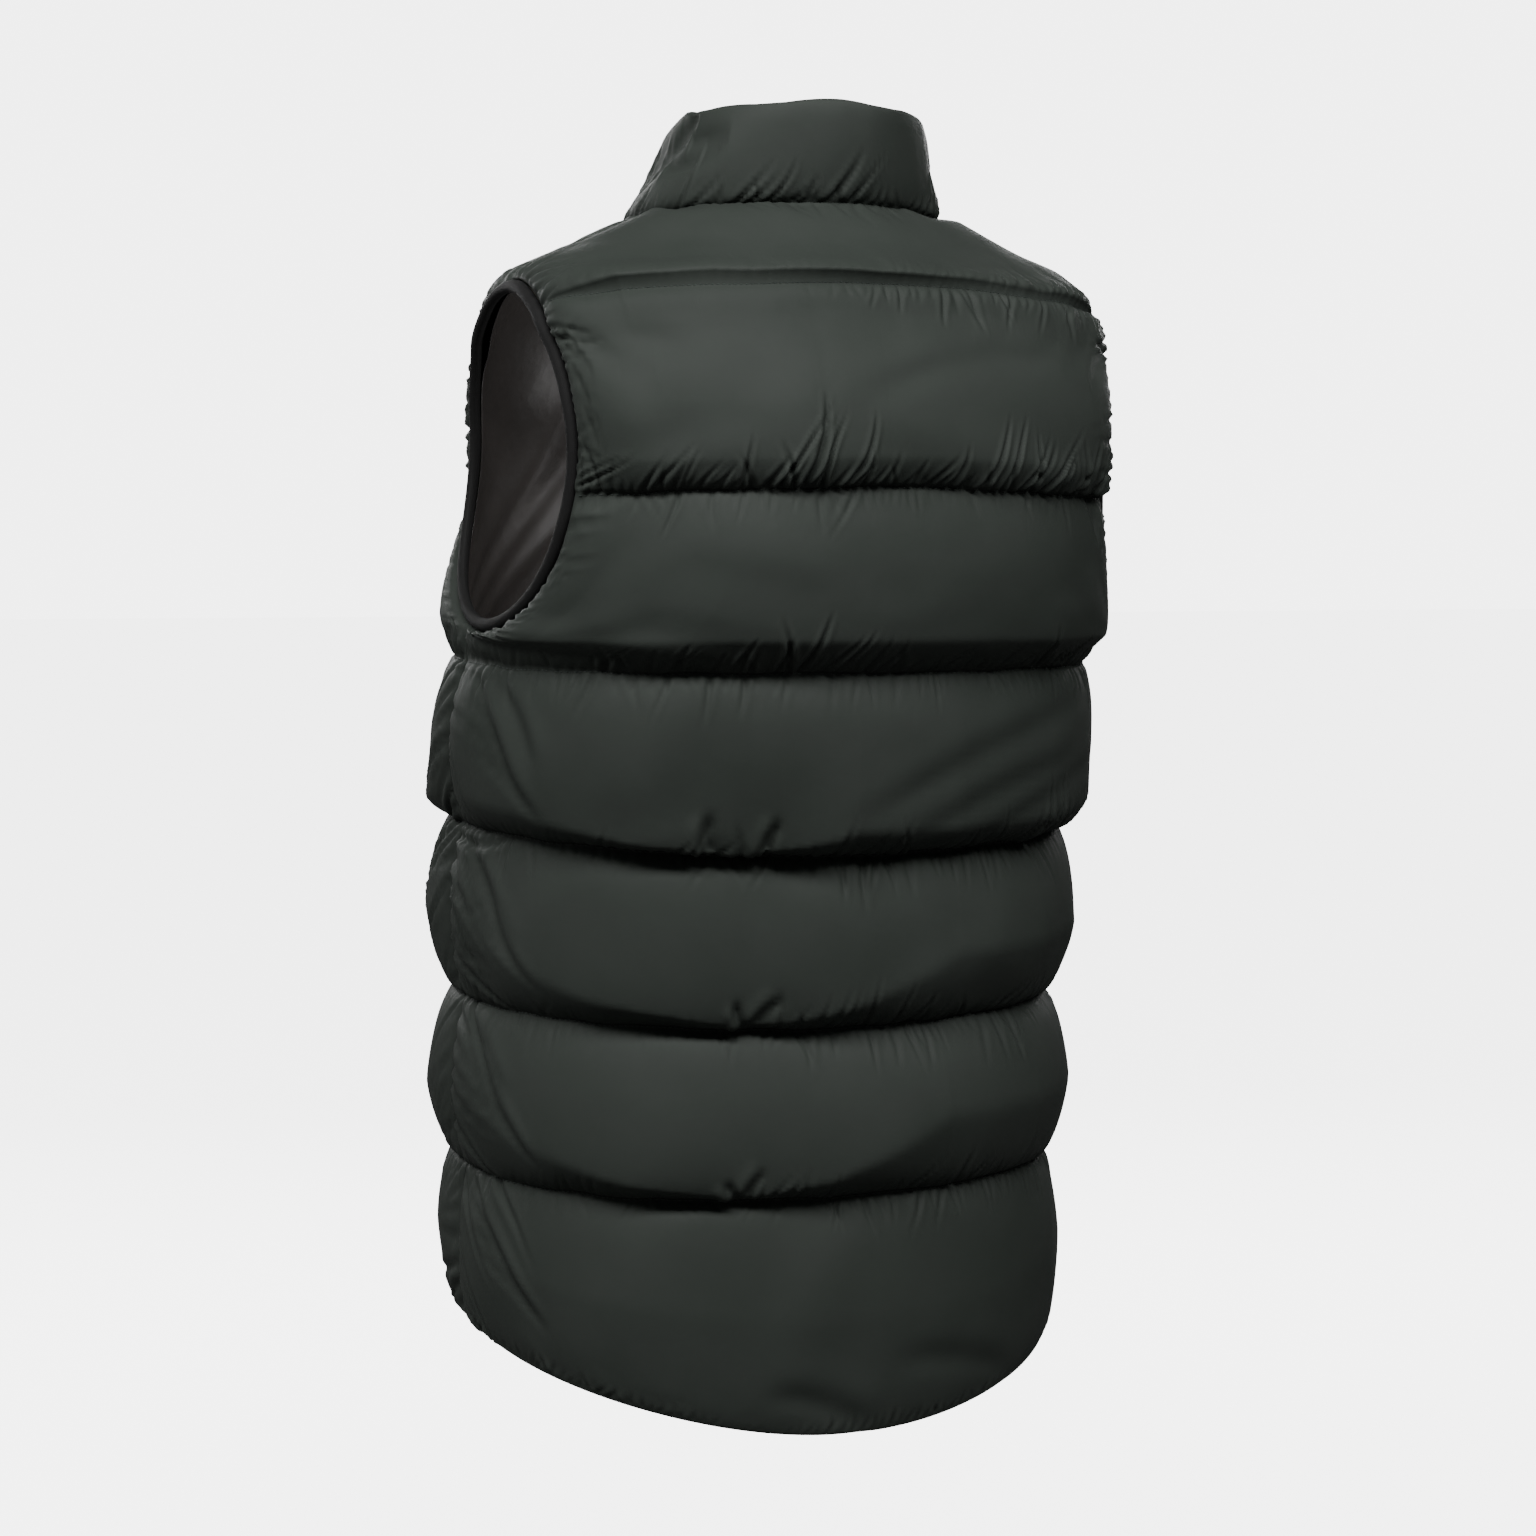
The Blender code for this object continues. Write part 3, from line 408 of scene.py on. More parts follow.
def fill_lift(rows, points, facing):
    """How far the fill lifts the sheet off the form before it is blown out."""
    along = np.linspace(0, 1, points.shape[1])
    steps = np.linalg.norm(np.diff(points, axis=1), axis=2)
    from_start = np.concatenate([np.zeros((len(rows), 1)), np.cumsum(steps, axis=1)], axis=1)
    from_end = from_start[:, -1:] - from_start
    from_top = np.linalg.norm(points - points[-1], axis=2)
    lift = np.zeros(points.shape[:2])
    for index, row in enumerate(rows):
        share = lerp(HEM_START, 1, row.share) if row.baffle == 0 else row.share
        dome = math.sin(math.pi * share) ** DOME_POWER if 0 < share < 1 else 0.0
        if row.turn is None:
            edge = SIDE_SEAM_LOFT + (1 - SIDE_SEAM_LOFT) * rounded(from_end[index], SIDE_FADE)
        else:
            edge = rounded(from_end[index], ARMHOLE_FADE)
        other = edge[::-1] if facing > 0 else rounded(from_start[index], CENTRE_FADE)
        edge = edge * other if facing < 0 else np.where(along < 0.5, other, edge)
        if row.baffle == TOP - 1:
            edge = edge * rounded(from_top[index], TOP_FADE)
        lift[index] = SEAM_WALL + LEVELS[row.baffle].loft * dome * edge
    if facing > 0:
        across, up = measures(points)
        yoke = up - up[seam_rows(rows)[TOP - 1]]
        ends = rounded(np.minimum(across - across[:, :1], across[:, -1:] - across), ARMHOLE_FADE)
        raise_share = np.interp(across, YOKE_RAISE_PLACES, YOKE_RAISE_SHARES)
        lift += YOKE_SEAM_RAISE * raise_share * ends * np.exp(-((yoke / YOKE_RAISE_REACH) ** 2))
    return lift


# ---- gathers ----


WANDER_VALUES = 512


def wander(place, seed, spacing):
    """Smooth uneven numbers from -1 to 1 along a line, a new one every spacing."""
    values = np.random.default_rng(seed).uniform(-1, 1, WANDER_VALUES)
    at = place / spacing + WANDER_VALUES // 2
    index = np.floor(at).astype(int)
    before, after = values[index % WANDER_VALUES], values[(index + 1) % WANDER_VALUES]
    return lerp(before, after, eased(at - index))


# How far the gathers lean, how deep they start, how far they reach up and down
# from a seam, and the flat strip beside it.
GATHER_SLANT = 0.45
GATHER_START = 0.0034
GATHER_UP = 0.030
GATHER_DOWN = 0.016
GATHER_CLEAR = 0.004

# How far apart the gathers, their lengths and their strengths change.
FINE_GATHER = 0.010
WIDE_GATHER = 0.021
GATHER_LENGTH_STEP = 0.045
GATHER_STRENGTH_STEP = 0.06

# How much a stitched row bunches the cloth along its seam and wobbles up and
# down, how far apart that changes, and how far it reaches.
CLUMP = 0.0032
CLUMP_STEP = 0.022
CLUMP_REACH = 0.09
CLUMP_END_FADE = 0.03
SEAM_WOBBLE = 0.0008
SEAM_WOBBLE_STEP = 0.018

# How strongly the cloth gathers above and below each seam, at places in metres
# from the panel's middle: on the back, from the wearer's right to their left.
GATHER_PLACES = (-0.27, -0.16, -0.10, -0.05, 0.0, 0.05, 0.09, 0.14, 0.25)
GATHERS_ABOVE = (
    (0.6, 0.5, 0.5, 0.5, 0.3, 0.3, 0.4, 0.7, 0.8),
    (0.6, 0.7, 0.7, 0.6, 0.4, 0.7, 0.4, 0.3, 0.4),
    (0.8, 0.9, 0.8, 0.7, 0.5, 0.5, 0.3, 0.2, 0.4),
    (0.8, 1.1, 1.0, 0.6, 0.4, 0.9, 0.9, 0.4, 0.5),
    (0.8, 1.0, 0.9, 0.8, 0.6, 1.2, 1.2, 0.6, 0.5),
    (0.9, 1.1, 1.1, 1.1, 1.2, 1.1, 1.1, 0.9, 0.8),
    (0.3, 0.3, 0.3, 0.2, 0.1, 0.1, 0.1, 0.1, 0.1),
    (0.0, 0.0, 0.0, 0.0, 0.0, 0.0, 0.0, 0.0, 0.0),
)
GATHERS_BELOW = (
    (0.0, 0.0, 0.0, 0.0, 0.0, 0.0, 0.0, 0.0, 0.0),
    (0.4, 0.5, 0.4, 0.5, 0.6, 0.7, 0.6, 0.3, 0.3),
    (0.4, 0.4, 0.4, 0.4, 0.4, 0.6, 0.4, 0.3, 0.3),
    (0.4, 0.4, 0.4, 0.5, 0.5, 0.8, 0.9, 0.4, 0.4),
    (0.5, 0.6, 0.5, 0.5, 0.6, 0.9, 0.9, 0.5, 0.4),
    (0.4, 0.4, 0.4, 0.4, 0.4, 0.4, 0.4, 0.4, 0.4),
    (0.8, 1.0, 1.0, 0.9, 0.7, 0.1, 0.1, 0.1, 0.1),
    (0.3, 0.3, 0.4, 0.5, 0.6, 0.6, 0.6, 0.4, 0.3),
)


def gather_strength(table, level, across):
    return np.interp(across, GATHER_PLACES, table[level])


def first_gathers(rows, points, seed):
    """Where the cloth starts to gather beside each seam, as metres off the smooth sheet."""
    across, up = measures(points)
    lift = np.zeros(points.shape[:2])
    for level, seam in enumerate(seam_rows(rows)):
        away = up - up[seam]
        base = seed * 100 + level * 10
        along = across - GATHER_SLANT * away
        wave = 0.6 * wander(along, base, FINE_GATHER) + 0.6 * wander(along, base + 1, WIDE_GATHER)
        uneven = 1 + 0.7 * wander(along, base + 2, GATHER_LENGTH_STEP)
        length = np.where(away > 0, GATHER_UP, GATHER_DOWN) * uneven
        strength = np.where(
            away > 0,
            gather_strength(GATHERS_ABOVE, level, across),
            gather_strength(GATHERS_BELOW, level, across),
        )
        deep = strength * (0.8 + 0.5 * wander(along, base + 3, GATHER_STRENGTH_STEP))
        near = np.abs(away)
        fade = np.exp(-((near / length) ** 2))
        lift += GATHER_START * wave * deep * fade * np.minimum(1, near / GATHER_CLEAR)
    return lift


def clump(rows, points, seed):
    """The stitched rows' small shifts along their seam, which bunch the cloth in places."""
    across, up = measures(points)
    run = np.gradient(points, axis=1)
    run /= np.linalg.norm(run, axis=2, keepdims=True)
    ends = np.minimum(across - across[:, :1], across[:, -1:] - across)
    fade = np.clip(ends / CLUMP_END_FADE, 0, 1)
    shift = np.zeros(points.shape)
    seams = seam_rows(rows)
    for level, seam in enumerate(seams):
        base = seed * 100 + level * 10
        near = np.clip(1 - np.abs(up - up[seam]) / CLUMP_REACH, 0, 1) ** 2 * fade
        shift += run * (CLUMP * wander(across, base + 5, CLUMP_STEP) * near)[..., None]
        if 0 < level < len(seams) - 1:
            shift[..., 2] += SEAM_WOBBLE * wander(across, base + 6, SEAM_WOBBLE_STEP) * near**2
    return shift


# ---- cloth ----

# How much larger a panel is cut than the form under it, across and up.
EASE_ACROSS = 0.14
EASE_UP = 0.075
FILL_PRESSURE = 6.0
SAG = 0.05
BLOW_FRAMES = 24
MOST_MOVE = 0.012
BODY_MIDDLE = Vector((0.0, -0.03, -0.35))


def turn_outwards(bm):
    """Reverses a sheet's faces if they look inwards."""
    if sum(face.normal.dot(face.calc_center_median() - BODY_MIDDLE) for face in bm.faces) < 0:
        bmesh.ops.reverse_faces(bm, faces=bm.faces[:])


def grid_mesh(name, points):
    """A sheet of quads through rows of points, its faces outwards."""
    rows, columns = points.shape[:2]
    bm = bmesh.new()
    made = bmesh.ops.create_grid(bm, x_segments=columns - 1, y_segments=rows - 1, size=1.0)
    for vert, place in zip(made["verts"], points.reshape(-1, 3)):
        vert.co = place
    bm.normal_update()
    turn_outwards(bm)
    mesh = bpy.data.meshes.new(name)
    bm.to_mesh(mesh)
    bm.free()
    return mesh


def blow_out(name, start, cut, pinned, pressure):
    """Where the sheet's points come to rest when its fill presses it outwards."""
    obj = bpy.data.objects.new(name, grid_mesh(name, start))
    bpy.context.scene.collection.objects.link(obj)
    obj.shape_key_add(name="start")
    key = obj.shape_key_add(name="cut")
    key.data.foreach_set("co", cut.reshape(-1).astype(np.float32))
    key.value = 0.0
    pins = obj.vertex_groups.new(name="stitched")
    pins.add([int(i) for i in np.flatnonzero(pinned.reshape(-1))], 1.0, "REPLACE")
    cloth = obj.modifiers.new("cloth", "CLOTH")
    settings = cloth.settings
    settings.vertex_group_mass = "stitched"
    settings.rest_shape_key = key
    settings.quality = 5
    settings.mass = 0.15
    settings.air_damping = 2.0
    settings.tension_stiffness = 20
    settings.compression_stiffness = 20
    settings.shear_stiffness = 5
    settings.bending_stiffness = 0.02
    settings.use_pressure = True
    settings.uniform_pressure_force = pressure
    settings.effector_weights.gravity = SAG
    cloth.collision_settings.use_collision = False
    cloth.point_cache.frame_start = 1
    cloth.point_cache.frame_end = BLOW_FRAMES
    scene = bpy.context.scene
    for step in range(1, BLOW_FRAMES + 1):
        scene.frame_set(step)
    graph = bpy.context.evaluated_depsgraph_get()
    mesh = obj.evaluated_get(graph).to_mesh()
    places = np.empty(start.size, np.float32)
    mesh.vertices.foreach_get("co", places)
    obj.evaluated_get(graph).to_mesh_clear()
    bpy.data.objects.remove(obj)
    scene.frame_set(1)
    move = places.reshape(start.shape).astype(float) - start
    size = np.linalg.norm(move, axis=-1, keepdims=True)
    return start + move * np.minimum(1, MOST_MOVE / np.maximum(size, SMALLEST))


def add_object(name, mesh):
    obj = bpy.data.objects.new(name, mesh)
    bpy.context.scene.collection.objects.link(obj)
    return obj


def grid_sheet(bm, points, across, up):
    """Adds a sheet of quads through rows of points, with its measures for patterns."""
    rows, columns = points.shape[:2]
    own = bm.verts.layers.float
    layers = [own.get(name) or own.new(name) for name in ("across", "up")]
    made = bmesh.ops.create_grid(bm, x_segments=columns - 1, y_segments=rows - 1, size=1.0)["verts"]
    for vert, place, u, v in zip(made, points.reshape(-1, 3), across.reshape(-1), up.reshape(-1)):
        vert.co = place
        vert[layers[0]] = u
        vert[layers[1]] = v
    return made


def map_metres(bm):
    """Gives the bmesh a UV map in metres, where its sheets have their measures."""
    across, up = (bm.verts.layers.float.get(layer) for layer in ("across", "up"))
    if across and up:
        uv = bm.loops.layers.uv.new("metres")
        for face in bm.faces:
            for loop in face.loops:
                loop[uv].uv = (loop.vert[across], loop.vert[up])


def finish_mesh(name, bm, outwards=True):
    """Makes the bmesh a smooth object whose UV map is in metres."""
    if outwards:
        bmesh.ops.recalc_face_normals(bm, faces=bm.faces[:])
    map_metres(bm)
    mesh = bpy.data.meshes.new(name)
    bm.to_mesh(mesh)
    bm.free()
    mesh.shade_smooth()
    return add_object(name, mesh)


def subdivide(obj, levels=1):
    smooth = obj.modifiers.new("smooth", "SUBSURF")
    smooth.levels = smooth.render_levels = levels
    return obj


def padded_body(name, outer, inner):
    """One closed padded piece from its blown outer sheet and its plain inner one."""
    bm = bmesh.new()
    for points in (outer, inner):
        grid_sheet(bm, points, *measures(points))
    bmesh.ops.bridge_loops(bm, edges=[edge for edge in bm.edges if edge.is_boundary])
    return finish_mesh(name, bm)


# The fine grid's rows in each baffle and its columns to each one of the panel's.
# The plain inside of a panel takes only every fourth row and column.
FINE_ROWS = (40, 32, 32, 32, 48, 62, 42)
FINE_COLUMNS = 3
INNER_EVERY = 4


def refine(values, row_at, column_at):
    """Values of a grid at fractional rows and columns, on smooth curves through its own."""
    for axis, at in ((0, row_at), (1, column_at)):
        last = values.shape[axis] - 1
        low = np.clip(np.floor(at).astype(int), 0, last - 1)
        u = (at - low).reshape([-1 if i == axis else 1 for i in range(values.ndim)])
        before, start, end, after = (
            np.take(values, np.clip(low + step, 0, last), axis=axis) for step in (-1, 0, 1, 2)
        )
        bend = 2 * before - 5 * start + 4 * end - after
        twist = 3 * (start - end) + after - before
        values = start + 0.5 * u * (end - before + u * (bend + u * twist))
    return values


def fine_places(rows, columns):
    """Fractional rows and columns of the panel's fine grid."""
    seams = seam_rows(rows)
    row_at = [np.linspace(seams[i], seams[i + 1], FINE_ROWS[i], endpoint=False) for i in range(TOP)]
    column_at = np.linspace(0, columns - 1, int((columns - 1) * FINE_COLUMNS) + 1)
    return np.concatenate([*row_at, [len(rows) - 1]]), column_at


def fine_seams(rows, row_at):
    """The fine grid's row at each quilting seam, the hem and the top edge."""
    return [int(np.argmin(np.abs(row_at - row))) for row in seam_rows(rows)]


# A crease starts at its place along an edge and runs out from it, aside by its
# slant and its bend. It is narrower at its tip.
Crease = namedtuple("Crease", "place length slant bend depth width")
CREASE_FOOT_WIDE = 1.15
CREASE_TAPER = 0.4
CREASE_MARGIN = 0.03
CREASE_START = 0.003
CREASE_STEP = 0.055

# Where the low ridges beside a groove stand and how wide they are, in half
# widths of the groove, and how high, as a share of its depth.
RIDGE_AT = 2.3
RIDGE_WIDE = 1.4
RIDGE_HIGH = 0.42

# How the creases beside an edge are scattered: the least and most gap between
# them, length, slant and depth, and their half width.
Scatter = namedtuple("Scatter", "gaps lengths slants depths width")
ABOVE_SEAM = Scatter((0.0030, 0.0076), (0.010, 0.042), (-0.85, 0.15), (0.0012, 0.0030), 0.0013)
ABOVE_HEM = ABOVE_SEAM._replace(lengths=(0.010, 0.016))
BELOW_SEAM = Scatter((0.0034, 0.0095), (0.008, 0.032), (-0.5, 0.5), (0.0010, 0.0025), 0.0014)
ARMHOLE_EDGE = Scatter((0.0034, 0.0070), (0.012, 0.038), (-0.5, 0.5), (0.0007, 0.0021), 0.0014)
SIDE_SEAM = Scatter((0.006, 0.018), (0.014, 0.075), (-1.5, -0.1), (0.0009, 0.0026), 0.0022)
COLLAR_FOOT = Scatter((0.0045, 0.011), (0.008, 0.026), (-1.3, 0.2), (0.0010, 0.0028), 0.0015)
SIDE_SEAM_START = 0.01


def crease_depth(along, away, crease):
    """A narrow groove with a low ridge on each side, as metres off the cloth."""
    lift = np.zeros(along.shape)
    reach = crease.length
    beside = np.abs(along - crease.place) < abs(crease.slant) * reach + CREASE_MARGIN
    inside = (away > 0) & (away < reach) & beside
    if not inside.any():
        return lift
    out, aside = away[inside], along[inside]
    aside = aside - crease.place - crease.slant * out - crease.bend * out * out / reach
    width = crease.width * (CREASE_FOOT_WIDE - CREASE_TAPER * out / reach)
    strength = crease.depth * (1 - (out / reach) ** 2) * np.minimum(1, out / CREASE_START)
    groove = -np.exp(-((aside / width) ** 2))
    ridges = sum(
        np.exp(-(((aside - side * RIDGE_AT * width) / (RIDGE_WIDE * width)) ** 2))
        for side in (1, -1)
    )
    lift[inside] = strength * (groove + RIDGE_HIGH * ridges)
    return lift


def scattered(seed, start, end, kind, strength=None):
    """Creases at uneven places along an edge, in groups of stronger and weaker ones."""
    random = np.random.default_rng(seed)
    place = start
    creases = []
    while place < end:
        place += random.uniform(*kind.gaps)
        group = 0.5 + 0.5 * float(wander(np.array(place), seed + 1, CREASE_STEP))
        size = random.uniform(0, 1) ** 1.5
        here = 1.0 if strength is None else float(strength(place))
        crease = Crease(
            place=place,
            length=lerp(*kind.lengths, size) * (0.55 + 0.75 * group) * (0.5 + 0.5 * here),
            slant=random.uniform(*kind.slants),
            bend=random.uniform(-0.35, 0.35),
            depth=lerp(*kind.depths, size) * (0.35 + 0.9 * group) * here,
            width=kind.width * random.uniform(0.8, 1.3),
        )
        if here > 0:
            creases.append(crease)
    return creases


def seam_creases(rows, row_at, points, seed):
    """The sharp creases above and below each of a panel's seams, as metres off the cloth."""
    across, up = measures(points)
    seams = fine_seams(rows, row_at)
    lift = np.zeros(points.shape[:2])
    start, end = float(across.min()), float(across.max())
    for level, seam in enumerate(seams):
        base = seed * 1000 + level * 20
        away = up - up[seam]
        if level < TOP:
            kind = ABOVE_SEAM if level else ABOVE_HEM
            strength = partial(gather_strength, GATHERS_ABOVE, level)
            for crease in scattered(base, start, end, kind, strength):
                lift += crease_depth(across, away, crease)
        if level > 0:
            strength = partial(gather_strength, GATHERS_BELOW, level)
            for crease in scattered(base + 5, start, end, BELOW_SEAM, strength):
                lift += crease_depth(across, -away, crease)
    return lift


# For each baffle from the hem up: where its fill is thickest, as a share of its
# height, how far it sinks, as a share of its thickness, how much of this shape it
# takes in place of the blown-out one, how much fuller it is in the panel's
# middle, and how square its top is.
CROWN_AT = (0.50, 0.52, 0.50, 0.32, 0.26, 0.27, 0.40)
FILL_SINKS = (0.10, 0.32, 0.32, 0.32, 0.35, 0.35, 0.0)
FILL_SHAPED = (0.7, 0.85, 0.85, 0.85, 0.80, 0.75, 0.0)
FULLNESS = (1.20, 1.60, 1.60, 1.45, 1.30, 0.85, 1.0)
TOP_POWER = (1.6, 1.4, 1.4, 1.5, 1.7, 2.4, 2.0)
FRONT_FULLNESS = 1.15
UNDER_POWER = 1.15
LOWEST_CROWN = 0.07

# The fuller middle's reach to both sides and its fade, and the strip along a
# panel's edges that keeps its blown-out shape, with its fade.
MIDDLE_REACH = 0.22
MIDDLE_FADE = 0.10
EDGE_STRIP = 0.004
EDGE_STRIP_FADE = 0.045

# Low uneven lumps of the fill.
LUMPS = 0.0016
LUMP_WIDE = 0.030
LUMP_TALL = 0.024
FINE_ROW_HEIGHT = 0.0028

# Where a seam's thread pulls the fill flat above it, and how far that reaches
# to both sides and up, as a share of the baffle. The fill sinks less there.
Pinch = namedtuple("Pinch", "level across left right flat")
PINCH_REACH = 0.6
PINCH_POWER = 1.5
PINCH_HOLDS = 0.6
BACK_PINCHES = (
    Pinch(3, 0.072, 0.120, 0.060, 0.5),
    Pinch(2, 0.064, 0.170, 0.120, 0.7),
    Pinch(1, 0.069, 0.170, 0.120, 0.7),
)
FRONT_PINCHES = (Pinch(3, 0.020, 0.110, 0.110, 0.25), Pinch(1, -0.020, 0.120, 0.100, 0.25))


def shaped(points, form, normal, row_at, rows, facing):
    """The blown-out points with the fill sunk to a turned-in underside in each baffle."""
    across = measures(form)[0]
    from_start, from_end = across - across[:, :1], across[:, -1:] - across
    loft = ((points - form) * normal).sum(axis=2) - SEAM_WALL
    seams = fine_seams(rows, row_at)
    points = points.copy()
    for baffle in range(TOP):
        low, high = seams[baffle], seams[baffle + 1]
        share = np.linspace(0, 1, high - low + 1)[:, None]
        here = loft[low : high + 1]
        crown = np.full(across.shape[1], CROWN_AT[baffle])
        flat = np.zeros(across.shape[1])
        for pinch in BACK_PINCHES if facing > 0 else FRONT_PINCHES:
            if pinch.level == baffle:
                off = across[low] - pinch.across
                near = np.clip(1 - np.where(off > 0, off / pinch.left, -off / pinch.right), 0, 1)
                crown = lerp(crown, LOWEST_CROWN, near)
                flat = pinch.flat * near**2 * (3 - 2 * near)
        above = np.clip((share - crown) / (1 - crown), 0, 1)
        below = np.clip(1 - share / crown, 0, 1)
        profile = (1 - above ** TOP_POWER[baffle]) * (1 - below**UNDER_POWER)
        profile = profile * (1 - flat * (1 - np.clip(share / PINCH_REACH, 0, 1)) ** PINCH_POWER)
        middle = np.clip((MIDDLE_REACH - np.abs(across[low])) / MIDDLE_FADE, 0, 1)
        fullness = FULLNESS[baffle] if facing > 0 else min(FULLNESS[baffle], FRONT_FULLNESS)
        fullest = lerp(1, fullness, middle) * here.max(axis=0)
        from_edge = np.minimum(from_start, from_end)[low : high + 1]
        inside = eased(np.clip((from_edge - EDGE_STRIP) / EDGE_STRIP_FADE, 0, 1))
        target = lerp(here, fullest * profile, FILL_SHAPED[baffle] * inside)
        u, v = across[low : high + 1], share * (high - low) * FINE_ROW_HEIGHT
        lumps = wander(u + 0.5 * v, 61 + baffle, LUMP_WIDE)
        lumps = lumps * wander(v - 0.35 * u, 71 + baffle, LUMP_TALL)
        target += LUMPS * lumps * np.sin(math.pi * share) * inside
        points[low : high + 1] += normal[low : high + 1] * (target - here)[..., None]
        sinks = FILL_SINKS[baffle] * np.clip(target, 0, None) * (1 - PINCH_HOLDS * flat) * inside
        points[low : high + 1, :, 2] -= sinks
    return points


def grid_normal(points, normal):
    """The sheet's own outward direction at each of its points."""
    own = np.cross(np.gradient(points, axis=1), np.gradient(points, axis=0))
    own *= np.sign((own * normal).sum(axis=2, keepdims=True))
    return own / np.maximum(np.linalg.norm(own, axis=2, keepdims=True), SMALLEST)


# Single folds of the back: from and to, as metres across and metres above the
# seam of the level, with their depth and half width. Each bows a little, fades
# at its ends and has a low ridge on one side.
Fold = namedtuple("Fold", "level across up to_across to_up depth width")
FOLD_BOW = 0.06
FOLD_END = 0.35
FOLD_BLUNT = 0.25
FOLD_RIDGE_AT = 1.9
FOLD_RIDGE_WIDE = 1.3
FOLD_RIDGE_HIGH = 0.5
BACK_FOLDS = (
    Fold(3, 0.084, 0.002, 0.088, 0.030, 0.0036, 0.0036),
    Fold(3, 0.060, 0.002, 0.052, 0.028, 0.0036, 0.0034),
    Fold(3, 0.014, 0.030, -0.170, 0.088, 0.0013, 0.0065),
    Fold(3, -0.020, 0.020, -0.150, 0.058, 0.0012, 0.0055),
    Fold(3, -0.060, 0.014, -0.190, 0.050, 0.0011, 0.0050),
    Fold(2, 0.062, 0.001, 0.070, 0.020, 0.0030, 0.0028),
    Fold(2, 0.060, 0.001, 0.046, 0.024, 0.0030, 0.0030),
    Fold(1, 0.069, 0.001, 0.076, 0.015, 0.0028, 0.0026),
    Fold(1, 0.068, 0.001, 0.055, 0.022, 0.0028, 0.0028),
    Fold(5, -0.145, 0.007, -0.158, -0.024, 0.0028, 0.0030),
    Fold(3, 0.245, -0.004, 0.205, -0.040, 0.0018, 0.0034),
    Fold(3, 0.240, -0.012, 0.190, -0.062, 0.0016, 0.0040),
    Fold(2, 0.245, -0.004, 0.200, -0.044, 0.0018, 0.0034),
    Fold(4, 0.225, -0.004, 0.185, -0.050, 0.0018, 0.0036),
    Fold(1, 0.055, -0.110, -0.010, -0.135, 0.0018, 0.0080),
    Fold(1, -0.020, -0.095, -0.110, -0.118, 0.0016, 0.0080),
    Fold(5, 0.020, 0.050, -0.120, 0.078, 0.0012, 0.0075),
)

# Rows of slanted folds that run down into the back from the wearer's left side seam.
SIDE_FOLDS = tuple(
    Fold(
        level=level,
        across=0.250 - 0.007 * step,
        up=-0.004 - 0.013 * step,
        to_across=0.206 - 0.009 * step,
        to_up=-0.046 - 0.011 * step,
        depth=0.0019,
        width=0.0026,
    )
    for level in (1, 2, 3, 4)
    for step in range(4)
)


def folded(row_at, rows, form):
    """The back's single folds, as metres off the cloth."""
    across, up = measures(form)
    seams = fine_seams(rows, row_at)
    lift = np.zeros(across.shape)
    for fold in (*BACK_FOLDS, *SIDE_FOLDS):
        height = up - up[seams[fold.level]]
        run, rise = fold.to_across - fold.across, fold.to_up - fold.up
        length = math.hypot(run, rise)
        along = ((across - fold.across) * run + (height - fold.up) * rise) / length
        off = ((across - fold.across) * rise - (height - fold.up) * run) / length
        off = off - FOLD_BOW * length * np.sin(np.clip(along / length, 0, 1) * math.pi)
        from_end = np.minimum(along, length - along)
        ends = eased(np.clip(from_end / (FOLD_END * length) + FOLD_BLUNT, 0, 1))
        wide = fold.width
        ridge = np.exp(-(((off - FOLD_RIDGE_AT * wide) / (FOLD_RIDGE_WIDE * wide)) ** 2))
        lift += fold.depth * ends * (FOLD_RIDGE_HIGH * ridge - np.exp(-((off / wide) ** 2)))
    return lift


def edge_creases(points, turns, seed):
    """Short creases all along the armhole's edge and puckers along the side seam."""
    lift = np.zeros(points.shape[:2])
    steps = np.linalg.norm(np.diff(points, axis=1, prepend=points[:, :1]), axis=2).cumsum(axis=1)
    run = np.linalg.norm(np.diff(points[:, -1], axis=0, prepend=points[:1, -1]), axis=1).cumsum()
    along = np.repeat(run[:, None], points.shape[1], axis=1)
    away = steps[:, -1:] - steps
    armpit = float(run[np.argmax(turns)])
    top = float(run[-1])
    for crease in (
        *scattered(seed * 1000 + 400, armpit, top, ARMHOLE_EDGE),
        *scattered(seed * 1000 + 500, SIDE_SEAM_START, armpit, SIDE_SEAM),
    ):
        lift += crease_depth(along, away, crease)
    return lift


# A stitch lies a little below its seam's row and above the cloth. Its size is
# half its length, width and height.
STITCH_PITCH = 0.0032
STITCH_SIZE = (0.0012, 0.00032, 0.00032)
STITCH_DROP = 0.35
STITCH_RISE = 0.0002
STITCH_MARGIN = 0.004
STITCH_PROBE = 0.001


def yoke_fill(rows, row_at, form):
    """How far the fill lifts the blown-out yoke seam, in metres."""
    across, up = measures(form)
    yoke = up - up[fine_seams(rows, row_at)[TOP - 1]]
    ends = np.minimum(across - across[:, :1], across[:, -1:] - across)
    ends = np.clip(ends / YOKE_FILL_FADE, 0, 1)
    return YOKE_SEAM_FILL * ends * np.exp(-((yoke / YOKE_FILL_REACH) ** 2))


